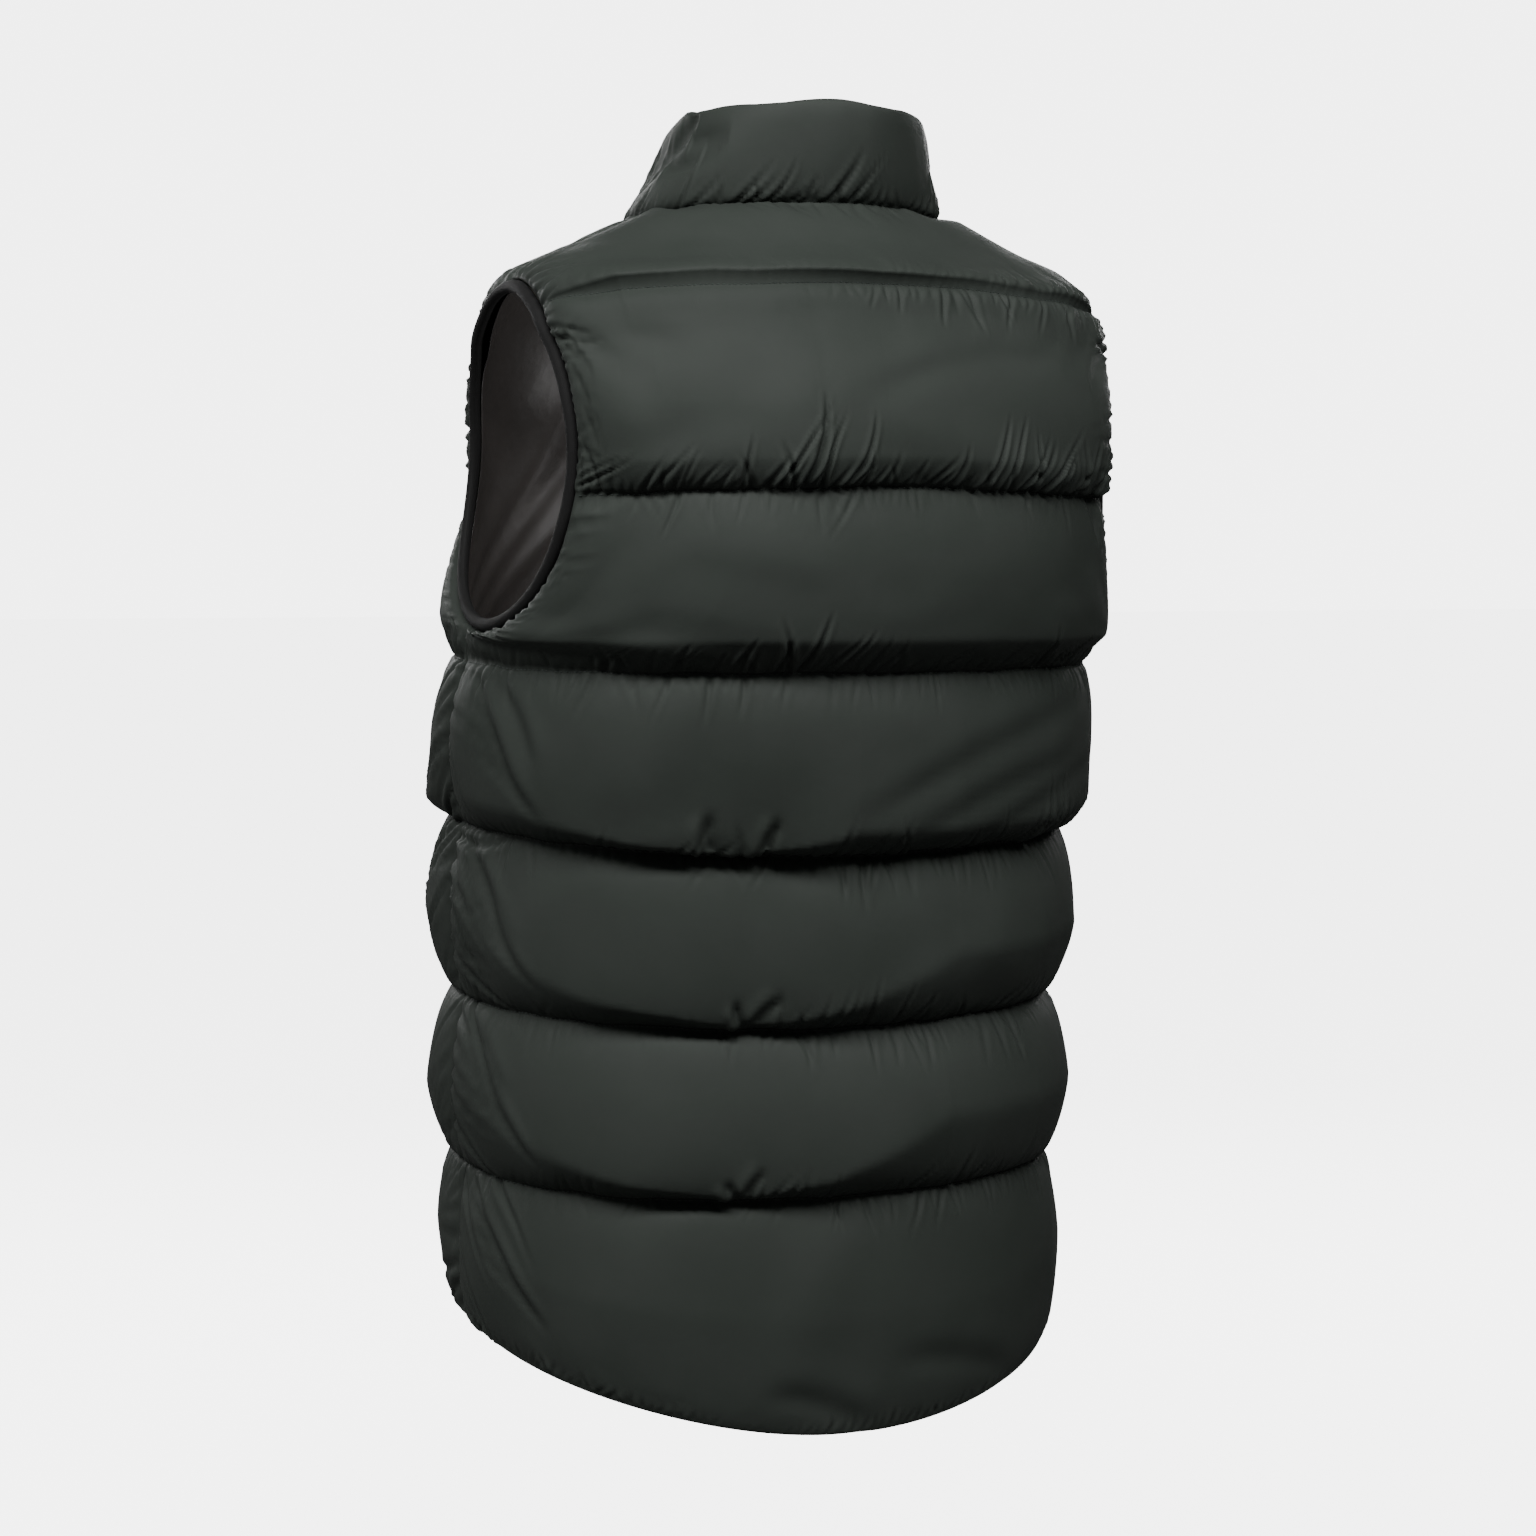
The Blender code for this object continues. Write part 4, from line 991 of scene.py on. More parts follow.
def add_panel(name, facing, side, seed, material):
    """A quilted panel as one padded piece, and the lines that its stitches follow."""
    rows = panel_rows(facing)
    points = whole_form(rows, HALF_COLUMNS, facing, SEAM_SPREAD)
    lift = fill_lift(rows, points, facing)
    lift += first_gathers(rows, points, seed)
    start = points + form_normal(points) * lift[..., None] + clump(rows, points, seed)
    cut = points * np.array([1 + EASE_ACROSS, 1 + EASE_ACROSS, 1 + EASE_UP])
    pinned = np.zeros(points.shape[:2], bool)
    pinned[seam_rows(rows)] = True
    pinned[:, 0] = pinned[:, -1] = True
    start = blow_out(name, start, cut, pinned, FILL_PRESSURE)
    row_at, column_at = fine_places(rows, points.shape[1])
    start, form = refine(start, row_at, column_at), refine(points, row_at, column_at)
    has_turn = np.array([row.turn is not None for row in rows], float)
    turns = np.interp(row_at, np.arange(len(rows)), has_turn) > 0.5
    depth = seam_creases(rows, row_at, form, seed) + edge_creases(form, turns, seed)
    if facing > 0:
        depth += edge_creases(form[:, ::-1], turns, seed + 1)[:, ::-1] + folded(row_at, rows, form)
    normal = form_normal(form)
    start = shaped(start, form, normal, row_at, rows, facing)
    if facing > 0:
        start += normal * yoke_fill(rows, row_at, form)[..., None]
    start += grid_normal(start, normal) * depth[..., None]
    keep_rows = sorted({*range(0, len(rows), INNER_EVERY), len(rows) - 1})
    inner_rows = [rows[i] for i in keep_rows]
    inner = whole_form(inner_rows, HALF_COLUMNS // INNER_EVERY, facing, SEAM_SPREAD)
    body = padded_body(name, mirror_points(start, side), mirror_points(inner, side))
    body.data.materials.append(material)
    lines = [
        lerp(start[seam], start[seam - 1], STITCH_DROP) + normal[seam] * STITCH_RISE
        for seam in fine_seams(rows, row_at)[1:-1]
    ]
    return body, [mirror_points(line, side) for line in lines]


def add_stitches(name, lines, material):
    """Short thread stitches along each quilting seam."""
    bm = bmesh.new()
    for line in lines:
        run = np.linalg.norm(np.diff(line, axis=0, prepend=line[:1]), axis=1).cumsum()
        at = np.arange(STITCH_MARGIN, run[-1] - STITCH_MARGIN, STITCH_PITCH)
        places, ahead = (
            np.stack([np.interp(reach, run, line[:, axis]) for axis in range(3)], 1)
            for reach in (at, at + STITCH_PROBE)
        )
        ways = ahead - places
        for place, way in zip(places, ways):
            turn = Vector(way).to_track_quat("X", "Z").to_matrix().to_4x4()
            matrix = Matrix.Translation(place) @ turn @ Matrix.Diagonal((*STITCH_SIZE, 1.0))
            bmesh.ops.create_icosphere(bm, subdivisions=1, radius=1.0, matrix=matrix)
    obj = finish_mesh(name, bm, outwards=False)
    obj.data.materials.append(material)
    return obj


# ---- linings ----

# The lining's gap to the panel, its own thickness, and its folds: their depth and
# spacing, how far they lean, and the strip at the hem and the top where they end.
LINING_GAP = 0.0014
LINING_WALL = 0.0010
LINING_FOLD = 0.0046
LINING_FOLD_STEP = 0.050
LINING_SMALL_STEP = 0.019
LINING_SLANT = 0.8
LINING_LEAST = -0.2
LINING_EDGE_FADE = 0.05


def add_lining(name, facing, side, seed, material):
    """A thin sheet just inside a panel, with soft slanted folds standing inwards."""
    rows = panel_rows(facing)[::2]
    points = whole_form(rows, HALF_COLUMNS // 2, facing, SEAM_SPREAD)
    normal = form_normal(points)
    across, up = measures(points)
    slant = across + LINING_SLANT * up
    large, small = wander(slant, seed, LINING_FOLD_STEP), wander(slant, seed + 1, LINING_SMALL_STEP)
    folds = np.clip(large * 0.8 + small * 0.4, LINING_LEAST, 1)
    from_top = up.max(axis=0) - up
    edges = np.minimum(rounded(up, LINING_EDGE_FADE), rounded(from_top, LINING_EDGE_FADE))
    depth = LINING_GAP + LINING_FOLD * (folds - LINING_LEAST) * edges
    bm = bmesh.new()
    grid_sheet(bm, mirror_points(points - normal * depth[..., None], side), across, up)
    turn_outwards(bm)
    obj = finish_mesh(name, bm, outwards=False)
    wall = obj.modifiers.new("wall", "SOLIDIFY")
    wall.thickness = LINING_WALL
    wall.offset = -1
    subdivide(obj)
    obj.data.materials.append(material)
    return obj


# ---- collar ----

# The collar's heights, how thin it is beside the zip, how far its top stands back
# and leans inwards, and how it meets the neck edge.
COLLAR_COLUMNS = 200
COLLAR_FINE = 3
COLLAR_PRESSURE = 3.0
COLLAR_BACK_HEIGHT = 0.060
COLLAR_SIDE_HEIGHT = 0.066
COLLAR_FRONT_HEIGHT = 0.078
COLLAR_END_FADE = 0.020
COLLAR_END_SHARE = 0.35
COLLAR_BACK_SHIFT = 0.015
COLLAR_SIDE_LEAN = 0.025
COLLAR_LEFT_LEAN = 0.004
COLLAR_END_LEAN = 0.006
COLLAR_TUCK = 0.0015
COLLAR_INNER_GAP = 0.0010

# How much fuller the collar's foot is at the sides, the waves of its top edge,
# and the height and spacing of the waves of its outside before it is blown out.
COLLAR_FOOT_PUFF = 0.45
COLLAR_WAVE = 0.0015
COLLAR_WAVES = (5, 3)
COLLAR_SMALL_WAVE = (0.0006, 0.014)
COLLAR_WIDE_WAVE = (0.0008, 0.034)
COLLAR_LEAST_OFFSET = 0.004

# How far above its foot the collar's creases start, and its low uneven lumps.
COLLAR_CREASE_START = 0.002
COLLAR_LUMPS = 0.0004
COLLAR_LUMP_STEP = 0.030
COLLAR_LUMP_START = 0.01

# How high each row of the collar's wall lies, as a share of its height, and how
# far its outside and its inside stand from the wall's middle.
CollarRow = namedtuple("CollarRow", "rise outer inner")
COLLAR_ROWS = (
    CollarRow(0.03, 0.0030, 0.0022),
    CollarRow(0.08, 0.0050, 0.0040),
    CollarRow(0.15, 0.0066, 0.0050),
    CollarRow(0.24, 0.0076, 0.0058),
    CollarRow(0.34, 0.0082, 0.0062),
    CollarRow(0.45, 0.0085, 0.0066),
    CollarRow(0.56, 0.0086, 0.0066),
    CollarRow(0.67, 0.0085, 0.0066),
    CollarRow(0.78, 0.0082, 0.0064),
    CollarRow(0.87, 0.0074, 0.0058),
    CollarRow(0.94, 0.0060, 0.0048),
    CollarRow(0.985, 0.0034, 0.0030),
)


def neck_line(angles):
    """Points of the neck edge round from centre back (0) to centre front (pi) on either side."""
    size = np.abs(angles)
    behind = size <= math.pi / 2
    bend = np.where(behind, size, math.pi - size)
    half_neck = float(section(NECK_SIDE_HEIGHT).half_width)
    x = lerp(np.where(behind, 0.0, ZIP_SLIT / 2), half_neck, np.sin(bend))
    end = np.where(behind, NECK_BACK_HEIGHT, NECK_FRONT_HEIGHT)
    height = lerp(NECK_SIDE_HEIGHT, end, np.cos(bend) ** 2)
    points = np.where(behind[:, None], form_at_x(x, height, 1), form_at_x(x, height, -1))
    return points * np.stack([np.sign(angles) + (angles == 0), *np.ones((2, len(angles)))], -1)


def collar_outlines(columns):
    """Outlines of the collar's wall at each column, from one end of the zip to the other."""
    angles = np.linspace(-math.pi, math.pi, columns + 1)
    neck = neck_line(angles)
    run = np.gradient(neck, axis=0)
    outward = np.stack([run[:, 1], -run[:, 0], np.zeros(len(run))], -1)
    outward /= np.linalg.norm(outward, axis=1, keepdims=True)
    outward *= np.sign((outward[:, :2] * neck[:, :2]).sum(1))[:, None]
    outward[0] = outward[-1] = (0.0, -1.0, 0.0)
    normal = form_normal(neck)
    upward = np.cross(normal, run / np.linalg.norm(run, axis=1, keepdims=True))
    upward *= np.sign(upward[:, 2])[:, None]
    middle = (COLLAR_BACK_HEIGHT + COLLAR_FRONT_HEIGHT) / 2
    tall = (
        (middle + COLLAR_SIDE_HEIGHT) / 2
        + (COLLAR_BACK_HEIGHT - COLLAR_FRONT_HEIGHT) / 2 * np.cos(angles)
        + (middle - COLLAR_SIDE_HEIGHT) / 2 * np.cos(2 * angles)
        + COLLAR_WAVE * np.sin(COLLAR_WAVES[0] * angles + 1) * np.cos(COLLAR_WAVES[1] * angles)
    )
    lean = lerp(COLLAR_END_LEAN, COLLAR_SIDE_LEAN, np.sin(angles) ** 2)
    lean = lean + COLLAR_LEFT_LEAN * np.clip(np.sin(angles), 0, 1)
    reach = np.cumsum(np.linalg.norm(np.diff(neck, axis=0, prepend=neck[:1]), axis=1))
    from_end = np.minimum(reach, reach[-1] - reach)
    thick = lerp(COLLAR_END_SHARE, 1, rounded(from_end, COLLAR_END_FADE))
    wave = sum(
        height * wander(reach, seed, step)
        for seed, (height, step) in ((31, COLLAR_SMALL_WAVE), (32, COLLAR_WIDE_WAVE))
    )

    def place(rise, offset):
        share = thick
        if offset > 0:
            share = share + wave / max(offset, COLLAR_LEAST_OFFSET) * min(1, 6 * (1 - rise))
            share = share + COLLAR_FOOT_PUFF * np.sin(angles) ** 2 * (1 - rise) ** 3
        spot = neck + outward * (offset * share - lean * rise)[:, None]
        spot[:, 1] += COLLAR_BACK_SHIFT * rise
        spot[:, 2] += tall * rise
        return spot

    outline = [neck - upward * COLLAR_TUCK + normal * SEAM_WALL / 2]
    outline += [place(row.rise, row.outer) for row in COLLAR_ROWS]
    outline += [place(1.0, 0.0)]
    outline += [place(row.rise, -row.inner) for row in reversed(COLLAR_ROWS)]
    outline += [neck + upward * COLLAR_INNER_GAP]
    return np.stack(outline, 1)


def closed_tube(name, loops):
    """A closed tube through outlines of equal point counts, its ends capped."""
    ring = np.concatenate([loops, loops[:, :1]], axis=1)
    bm = bmesh.new()
    grid_sheet(bm, ring, *measures(ring)[::-1])
    bmesh.ops.remove_doubles(bm, verts=bm.verts[:], dist=SAME_PLACE)
    bmesh.ops.holes_fill(bm, edges=[edge for edge in bm.edges if edge.is_boundary])
    return finish_mesh(name, bm)


def add_collar(material):
    """The padded collar, blown out between its foot and its zip ends."""
    loops = collar_outlines(COLLAR_COLUMNS).transpose(1, 0, 2)
    pinned = np.zeros(loops.shape[:2], bool)
    pinned[[0, 1, -2, -1]] = True
    pinned[:, [0, -1]] = True
    loops = blow_out("collar", loops, loops * (1 + EASE_ACROSS / 2), pinned, COLLAR_PRESSURE)
    row_at = np.linspace(0, len(loops) - 1, (len(loops) - 1) * 2 + 1)
    column_at = np.linspace(0, COLLAR_COLUMNS, COLLAR_COLUMNS * COLLAR_FINE + 1)
    loops = refine(loops, row_at, column_at)
    across, up = measures(loops)
    lift = np.zeros(loops.shape[:2])
    for crease in scattered(911, across.min(), across.max(), COLLAR_FOOT):
        lift += crease_depth(across, up - COLLAR_CREASE_START, crease)
    lumps = wander(across + 0.8 * up, 77, COLLAR_LUMP_STEP)
    lift += COLLAR_LUMPS * lumps * np.clip(up / COLLAR_LUMP_START, 0, 1)
    run, rise = np.gradient(loops, axis=1), np.gradient(loops, axis=0)
    normal = np.cross(run, rise)
    normal /= np.maximum(np.linalg.norm(normal, axis=2, keepdims=True), SMALLEST)
    normal *= np.sign((normal[5] * (loops[5] - loops[5].mean(axis=0))).sum())
    outside = (np.arange(len(loops)) < len(loops) / 2)[:, None, None]
    loops = loops + normal * np.where(outside, lift[..., None], 0)
    obj = closed_tube("collar_padded", loops.transpose(1, 0, 2))
    obj.data.materials.append(material)
    return obj


# ---- armhole bindings ----

# Half the folded binding's width and thickness, and its place on the edge.
BINDING_WIDE = 0.0041
BINDING_THICK = 0.0034
BINDING_LIFT = 0.0006
BINDING_GAP = 0.0005
BINDING_STEPS = 220
BINDING_SIDES = 14


def add_binding(name, side, material):
    """A stretch binding folded over the armhole's edge."""
    turns = np.linspace(0, 2 * math.pi, BINDING_STEPS, endpoint=False)
    edge = armhole_point(turns)
    normal = form_normal(edge)
    along = np.roll(edge, -1, axis=0) - np.roll(edge, 1, axis=0)
    away = np.cross(normal, along)
    away /= np.linalg.norm(away, axis=1, keepdims=True)
    away *= np.sign((away * (edge.mean(axis=0) - edge)).sum(axis=1, keepdims=True))
    centre = edge + away * (BINDING_WIDE + BINDING_GAP) + normal * BINDING_LIFT
    round_it = np.linspace(0, 2 * math.pi, BINDING_SIDES, endpoint=False)
    loops = (
        centre[:, None]
        + away[:, None] * BINDING_WIDE * np.cos(round_it)[:, None]
        + normal[:, None] * BINDING_THICK * np.sin(round_it)[:, None]
    )
    ring = np.concatenate([loops, loops[:, :1]], axis=1)
    ring = np.concatenate([ring, ring[:1]])
    bm = bmesh.new()
    across, up = measures(ring)
    grid_sheet(bm, mirror_points(ring, side), up, across)
    # The map comes before the ends are merged, so that it doesn't run back there.
    map_metres(bm)
    for layer in ("across", "up"):
        bm.verts.layers.float.remove(bm.verts.layers.float.get(layer))
    bmesh.ops.remove_doubles(bm, verts=bm.verts[:], dist=SAME_PLACE)
    obj = subdivide(finish_mesh(name, bm))
    obj.data.materials.append(material)
    return obj


# ---- zip ----

# A tape's inner edge, from the zip's line, and its thickness.
TAPE_INNER = 0.0002
TAPE_WALL = 0.0012
TAPE_STEPS = 60
COLLAR_TAPE_STEPS = 14
TAPE_END_MARGIN = 0.003
PIECE_GAP = 0.0003
TOOTH_PITCH = 0.0030
TOOTH_SIZE = (0.0026, 0.0016, 0.0013)
TOOTH_BEVEL = 0.00025

# A tooth's middle, as a share of its width from the zip's line, and as a share
# of its depth in front of the tape.
TOOTH_ASIDE = 0.42
TOOTH_PROUD = 0.3


def zip_line():
    """The zip's middle line up centre front, from hem to collar top."""
    outlines = collar_outlines(COLLAR_COLUMNS)
    heights = np.linspace(LEVELS[0].centre_front + TAPE_END_MARGIN, NECK_FRONT_HEIGHT, TAPE_STEPS)
    body = form_at_angle(math.pi, heights)
    top = outlines[0].mean(axis=0)
    top[2] = outlines[0][:, 2].max() - TAPE_END_MARGIN
    rises = np.linspace(0, 1, COLLAR_TAPE_STEPS + 1)[1:, None]
    line = np.concatenate([body, lerp(body[-1], top, rises)])
    line[:, 0] = 0.0
    return line


def add_tape(name, side, material):
    """The strip of one zip tape that shows between the teeth and the front."""
    line = zip_line()
    out = np.array([0.0, -TAPE_WALL, 0.0])
    near, far = (np.array([side * x, 0.0, 0.0]) for x in (TAPE_INNER, ZIP_SLIT / 2 - PIECE_GAP))
    loops = np.stack([line + near, line + far, line + far + out, line + near + out], 1)
    obj = closed_tube(name, loops)
    obj.data.materials.append(material)
    return obj


def add_teeth(name, side, material):
    """Small bevelled teeth up one tape's inner edge, out of step with the other side's."""
    line = zip_line()
    reach = np.linalg.norm(np.diff(line, axis=0, prepend=line[:1]), axis=1).cumsum()
    places = np.arange(TOOTH_PITCH * (1 + 0.5 * (side > 0)), reach[-1] - TOOTH_PITCH, TOOTH_PITCH)
    bm = bmesh.new()
    for place in places:
        y, height = (np.interp(place, reach, line[:, axis]) for axis in (1, 2))
        x, y = side * TOOTH_SIZE[0] * TOOTH_ASIDE, y - TAPE_WALL - TOOTH_SIZE[1] * TOOTH_PROUD
        made = bmesh.ops.create_cube(bm, size=1.0)["verts"]
        bmesh.ops.scale(bm, vec=TOOTH_SIZE, verts=made)
        bmesh.ops.translate(bm, vec=(x, y, height), verts=made)
    bmesh.ops.bevel(
        bm,
        geom=bm.edges[:],
        offset=TOOTH_BEVEL,
        offset_type="OFFSET",
        affect="EDGES",
        segments=1,
        profile=0.5,
        material=-1,
    )
    obj = finish_mesh(name, bm)
    obj.data.materials.append(material)
    return obj


# ---- materials ----

# A cloth's darker and lighter colour, its threads to a metre and their depth,
# and the depth of its small crinkles, in metres.
Cloth = namedtuple("Cloth", "name dark light roughness weave weave_depth crinkle specular")
NYLON_SATIN = Cloth(
    "nylon_satin", (0.033, 0.039, 0.034), (0.040, 0.046, 0.041), 0.60, 900.0, 0.00006, 0.00015, 0.12
)
LINING_TAFFETA = Cloth(
    "lining_taffeta", (0.044, 0.040, 0.038), (0.080, 0.071, 0.067), 0.30, 700.0, 0.00006, 0.0003,
    0.5,
)
KNIT_BLACK = Cloth(
    "knit_black", (0.004, 0.004, 0.004), (0.009, 0.009, 0.009), 0.75, 300.0, 0.0003, 0.0002, 0.3
)
WOVEN_TAPE = Cloth(
    "woven_tape", (0.006, 0.007, 0.007), (0.012, 0.013, 0.013), 0.70, 400.0, 0.0002, 0.0001, 0.3
)
QUILTING_THREAD = Cloth(
    "quilting_thread", (0.034, 0.044, 0.038), (0.046, 0.058, 0.051), 0.60, 900.0, 0.0001, 0.0001,
    0.3,
)

PATCH_SCALE = 9.0
PATCH_DETAIL = 5.0
PATCH_EDGES = (0.35, 0.68)
WEAVE_STRENGTH = 0.35
CRINKLE_SCALE = 90.0
CRINKLE_DETAIL = 6.0
CRINKLE_ROUGHNESS = 0.55
GLOSS_CHANGE = 0.03

RUBBED_SCALE = 400.0
RUBBED_DETAIL = 4.0
METAL_DARK = (0.03, 0.03, 0.03, 1)
METAL_LIGHT = (0.07, 0.07, 0.07, 1)
METAL_ROUGHNESS = (0.32, 0.46)
METALLIC = 0.85

FLOOR_PAINT = (0.80, 0.80, 0.80, 1)
FLOOR_ROUGHNESS = 0.9
FLOOR_GLOW = 4.6
FLOOR_BOUNCE = (0.12, 0.12, 0.12, 1)


def new_material(name):
    """A material with its nodes, its links and its main shader."""
    material = bpy.data.materials.new(name)
    material.use_nodes = True
    nodes = material.node_tree.nodes
    return material, nodes, material.node_tree.links, nodes["Principled BSDF"]


def noise(nodes, links, place, scale, detail):
    """Noise that stays where it is on the object."""
    made = nodes.new("ShaderNodeTexNoise")
    made.inputs["Scale"].default_value = scale
    made.inputs["Detail"].default_value = detail
    links.new(place.outputs["Object"], made.inputs["Vector"])
    return made


def vary_roughness(nodes, links, shader, source, least, most):
    gloss = nodes.new("ShaderNodeMapRange")
    gloss.inputs["To Min"].default_value = least
    gloss.inputs["To Max"].default_value = most
    links.new(source.outputs["Fac"], gloss.inputs["Value"])
    links.new(gloss.outputs["Result"], shader.inputs["Roughness"])


def cloth_material(cloth):
    """Woven cloth: fine crossed threads, soft colour variation and small crinkles."""
    material, nodes, links, shader = new_material(cloth.name)
    place = nodes.new("ShaderNodeTexCoord")
    patches = noise(nodes, links, place, PATCH_SCALE, PATCH_DETAIL)
    ramp = nodes.new("ShaderNodeValToRGB")
    colours = (cloth.dark, cloth.light)
    for element, edge, colour in zip(ramp.color_ramp.elements, PATCH_EDGES, colours):
        element.position = edge
        element.color = (*colour, 1.0)
    links.new(patches.outputs["Fac"], ramp.inputs["Fac"])
    links.new(ramp.outputs["Color"], shader.inputs["Base Color"])
    crossed = nodes.new("ShaderNodeMath")
    crossed.operation = "MULTIPLY"
    for index, direction in enumerate(("X", "Y")):
        wave = nodes.new("ShaderNodeTexWave")
        wave.bands_direction = direction
        wave.inputs["Scale"].default_value = cloth.weave
        links.new(place.outputs["UV"], wave.inputs["Vector"])
        links.new(wave.outputs["Fac"], crossed.inputs[index])
    weave_bump = nodes.new("ShaderNodeBump")
    weave_bump.inputs["Strength"].default_value = WEAVE_STRENGTH
    weave_bump.inputs["Distance"].default_value = cloth.weave_depth
    links.new(crossed.outputs["Value"], weave_bump.inputs["Height"])
    crinkles = noise(nodes, links, place, CRINKLE_SCALE, CRINKLE_DETAIL)
    crinkles.inputs["Roughness"].default_value = CRINKLE_ROUGHNESS
    crinkle_bump = nodes.new("ShaderNodeBump")
    crinkle_bump.inputs["Strength"].default_value = 1.0
    crinkle_bump.inputs["Distance"].default_value = cloth.crinkle
    links.new(crinkles.outputs["Fac"], crinkle_bump.inputs["Height"])
    links.new(weave_bump.outputs["Normal"], crinkle_bump.inputs["Normal"])
    links.new(crinkle_bump.outputs["Normal"], shader.inputs["Normal"])
    least, most = cloth.roughness - GLOSS_CHANGE, cloth.roughness + GLOSS_CHANGE
    vary_roughness(nodes, links, shader, crinkles, least, most)
    shader.inputs["Specular IOR Level"].default_value = cloth.specular
    return material


def metal_material(name):
    """Dark satin metal, a little lighter where it is rubbed."""
    material, nodes, links, shader = new_material(name)
    rubbed = noise(nodes, links, nodes.new("ShaderNodeTexCoord"), RUBBED_SCALE, RUBBED_DETAIL)
    ramp = nodes.new("ShaderNodeValToRGB")
    for element, colour in zip(ramp.color_ramp.elements, (METAL_DARK, METAL_LIGHT)):
        element.color = colour
    links.new(rubbed.outputs["Fac"], ramp.inputs["Fac"])
    links.new(ramp.outputs["Color"], shader.inputs["Base Color"])
    vary_roughness(nodes, links, shader, rubbed, *METAL_ROUGHNESS)
    shader.inputs["Metallic"].default_value = METALLIC
    return material


def seen_or_lighting(nodes, links, lighting, seen, output):
    """Shows one shader to the camera and lights the vest with another."""
    which = nodes.new("ShaderNodeMixShader")
    path = nodes.new("ShaderNodeLightPath")
    links.new(path.outputs["Is Camera Ray"], which.inputs["Fac"])
    links.new(lighting, which.inputs[1])
    links.new(seen, which.inputs[2])
    links.new(which.outputs["Shader"], nodes[output].inputs["Surface"])


def floor_material():
    """Pale matt paint, as bright to the eye as the studio's wall."""
    material, nodes, links, paint = new_material("floor_paint")
    paint.inputs["Base Color"].default_value = FLOOR_PAINT
    paint.inputs["Roughness"].default_value = FLOOR_ROUGHNESS
    glow = nodes.new("ShaderNodeEmission")
    glow.inputs["Strength"].default_value = FLOOR_GLOW
    both = nodes.new("ShaderNodeAddShader")
    links.new(paint.outputs["BSDF"], both.inputs[0])
    links.new(glow.outputs["Emission"], both.inputs[1])
    bounce = nodes.new("ShaderNodeBsdfDiffuse")
    bounce.inputs["Color"].default_value = FLOOR_BOUNCE
    lighting, seen = bounce.outputs["BSDF"], both.outputs["Shader"]
    seen_or_lighting(nodes, links, lighting, seen, "Material Output")
    return material


# ---- camera, lights and floor ----

CAMERA_AZIMUTH = math.radians(157)
CAMERA_ELEVATION = math.radians(3.6)
CAMERA_DISTANCE = 2.0
CAMERA_TARGET = Vector((0.0, -0.0265, -0.3306))
VIEW_WIDTH = 0.9277
FLOOR_HEIGHT = -0.95
FLOOR_SIZE = 40.0

# The wide lights: how far they stand towards the camera, to the camera's left
# and up, their power and their size.
Lamp = namedtuple("Lamp", "name towards left up power size")
LAMPS = (
    Lamp("key", 1.6, 0.05, 1.65, 110, (4.0, 0.5)),
    Lamp("front", -2.0, 0.3, 0.9, 60, (4.0, 0.5)),
    Lamp("side", 0.2, 2.4, 0.4, 6, (1.0, 1.4)),
)

# A small light inside the vest for each armhole. Places and aims are those of
# the light that shines at the wearer's left.
INSIDE_POWER = 0.14
INSIDE_SIZE = (0.12, 0.12)
INSIDE_PLACE = (-0.06, 0.03, -0.24)
INSIDE_AIM = (0.20, -0.12, 0.14)

SOFT_LIGHT = 0.042
WALL_SEEN = 5.0


def add_camera():
    data = bpy.data.cameras.new("camera")
    data.angle = 2 * math.atan(VIEW_WIDTH / 2 / CAMERA_DISTANCE)
    camera = bpy.data.objects.new("camera", data)
    bpy.context.scene.collection.objects.link(camera)
    towards = Vector((
        math.sin(CAMERA_AZIMUTH) * math.cos(CAMERA_ELEVATION),
        -math.cos(CAMERA_AZIMUTH) * math.cos(CAMERA_ELEVATION),
        math.sin(CAMERA_ELEVATION),
    ))
    camera.location = CAMERA_TARGET + towards * CAMERA_DISTANCE
    camera.rotation_euler = (-towards).to_track_quat("-Z", "Y").to_euler()
    bpy.context.scene.camera = camera
    return towards


def add_light(name, place, aim, power, size):
    data = bpy.data.lights.new(name, "AREA")
    data.energy = power
    data.shape = "RECTANGLE"
    data.size, data.size_y = size
    light = bpy.data.objects.new(name, data)
    bpy.context.scene.collection.objects.link(light)
    light.location = place
    light.rotation_euler = aim.to_track_quat("-Z", "Y").to_euler()
    return light


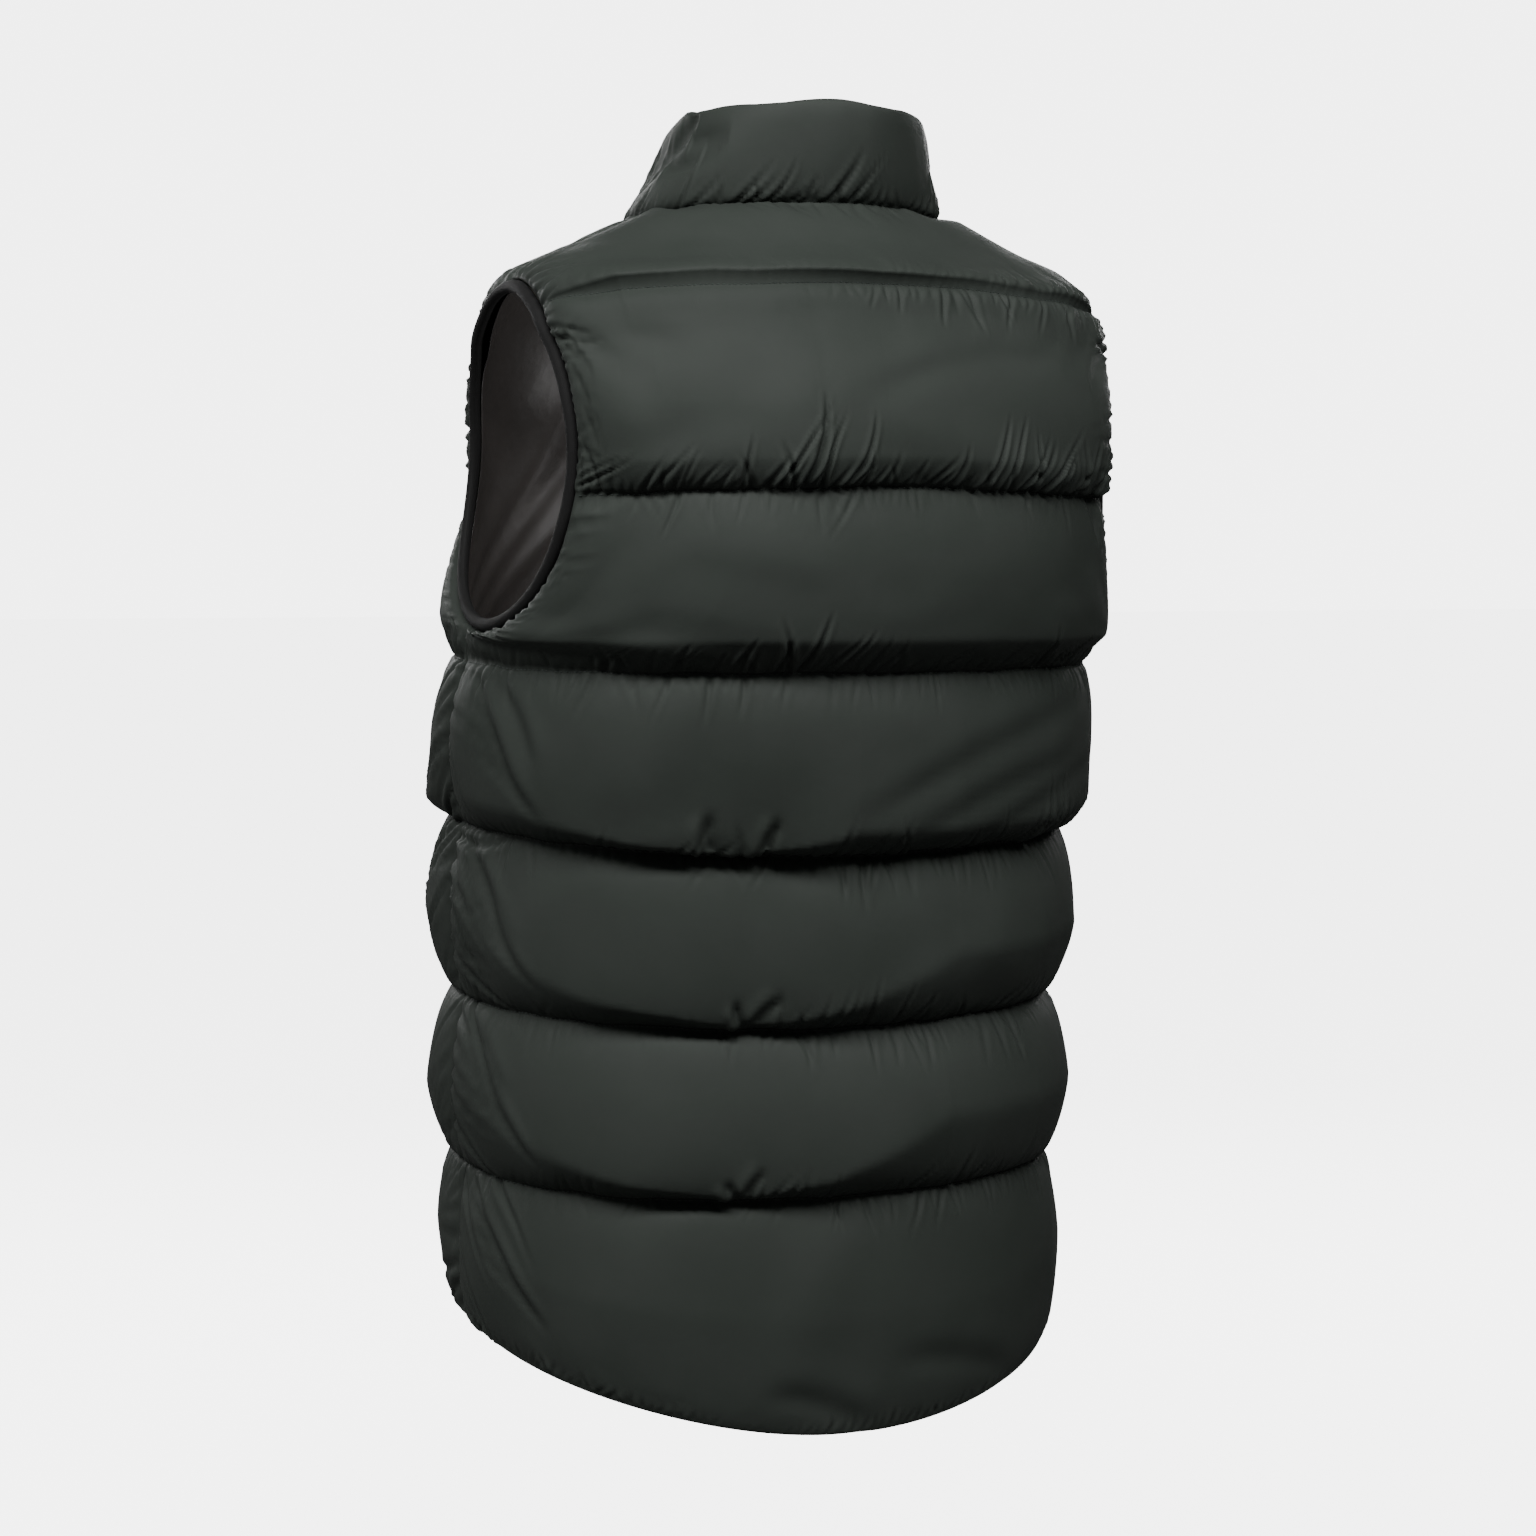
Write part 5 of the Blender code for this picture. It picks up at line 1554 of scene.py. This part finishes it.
def add_studio(towards):
    """Wide soft lights above the back and the front, weak ones beside and inside, and the floor."""
    up = Vector((0, 0, 1))
    left = up.cross(towards).normalized() * -1
    for lamp in LAMPS:
        place = towards * lamp.towards + left * lamp.left + up * lamp.up
        add_light(lamp.name, CAMERA_TARGET + place, place * -1, lamp.power, lamp.size)
    for side in (1, -1):
        place, aim = (Vector((side * way[0], *way[1:])) for way in (INSIDE_PLACE, INSIDE_AIM))
        light = add_light("inside", place, aim, INSIDE_POWER, INSIDE_SIZE)
        light.visible_camera = False
    world = bpy.data.worlds.new("studio")
    world.use_nodes = True
    nodes, links = world.node_tree.nodes, world.node_tree.links
    soft, seen = nodes["Background"], nodes.new("ShaderNodeBackground")
    for shade, strength in ((soft, SOFT_LIGHT), (seen, WALL_SEEN)):
        shade.inputs["Strength"].default_value = strength
        shade.inputs["Color"].default_value = (1, 1, 1, 1)
    outputs = (shade.outputs["Background"] for shade in (soft, seen))
    seen_or_lighting(nodes, links, *outputs, "World Output")
    bpy.context.scene.world = world
    bm = bmesh.new()
    bmesh.ops.create_grid(bm, x_segments=1, y_segments=1, size=FLOOR_SIZE)
    bmesh.ops.translate(bm, vec=(0, 0, FLOOR_HEIGHT), verts=bm.verts[:])
    floor = finish_mesh("floor", bm)
    floor.data.materials.append(floor_material())


# ---- putting it together ----

# Each panel's node, the way it faces, its side and the seed of its gathers.
PANELS = (("back", 1, 1, 3), ("front_left", -1, 1, 5), ("front_right", -1, -1, 8))


def main():
    add_studio(add_camera())
    shell, lining, knit, tape, thread = (
        cloth_material(cloth)
        for cloth in (NYLON_SATIN, LINING_TAFFETA, KNIT_BLACK, WOVEN_TAPE, QUILTING_THREAD)
    )
    metal = metal_material("dark_satin_metal")

    def put(piece, slot, *nodes):
        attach(piece, "vest")
        if nodes:
            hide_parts(*nodes)
        return piece

    for node, facing, side, seed in PANELS:
        panel, seams = add_panel(node + "_padded", facing, side, seed, shell)
        put(panel, "nylon_shell", node)
        put(add_stitches("stitches_" + node, seams, thread), "nylon_shell")
        sheet = add_lining("lining_" + node + "_cloth", facing, side, seed + 40, lining)
        put(sheet, "nylon_lining", "lining_" + node)
    put(add_collar(shell), "nylon_shell", "collar")
    for word, side in (("left", 1), ("right", -1)):
        strip = add_binding("binding_" + word, side, knit)
        put(strip, "knit_binding", "armhole_binding_" + word)
        strip = put(add_tape("tape_" + word, side, tape), "zip_tape", "zip_tape_" + word)
        put(add_teeth("zip_teeth_" + word, side, metal), "zip_metal")
    for node in ("zip_slider", "zip_pull"):
        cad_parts[node].data.materials.clear()
        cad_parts[node].data.materials.append(metal)


main()
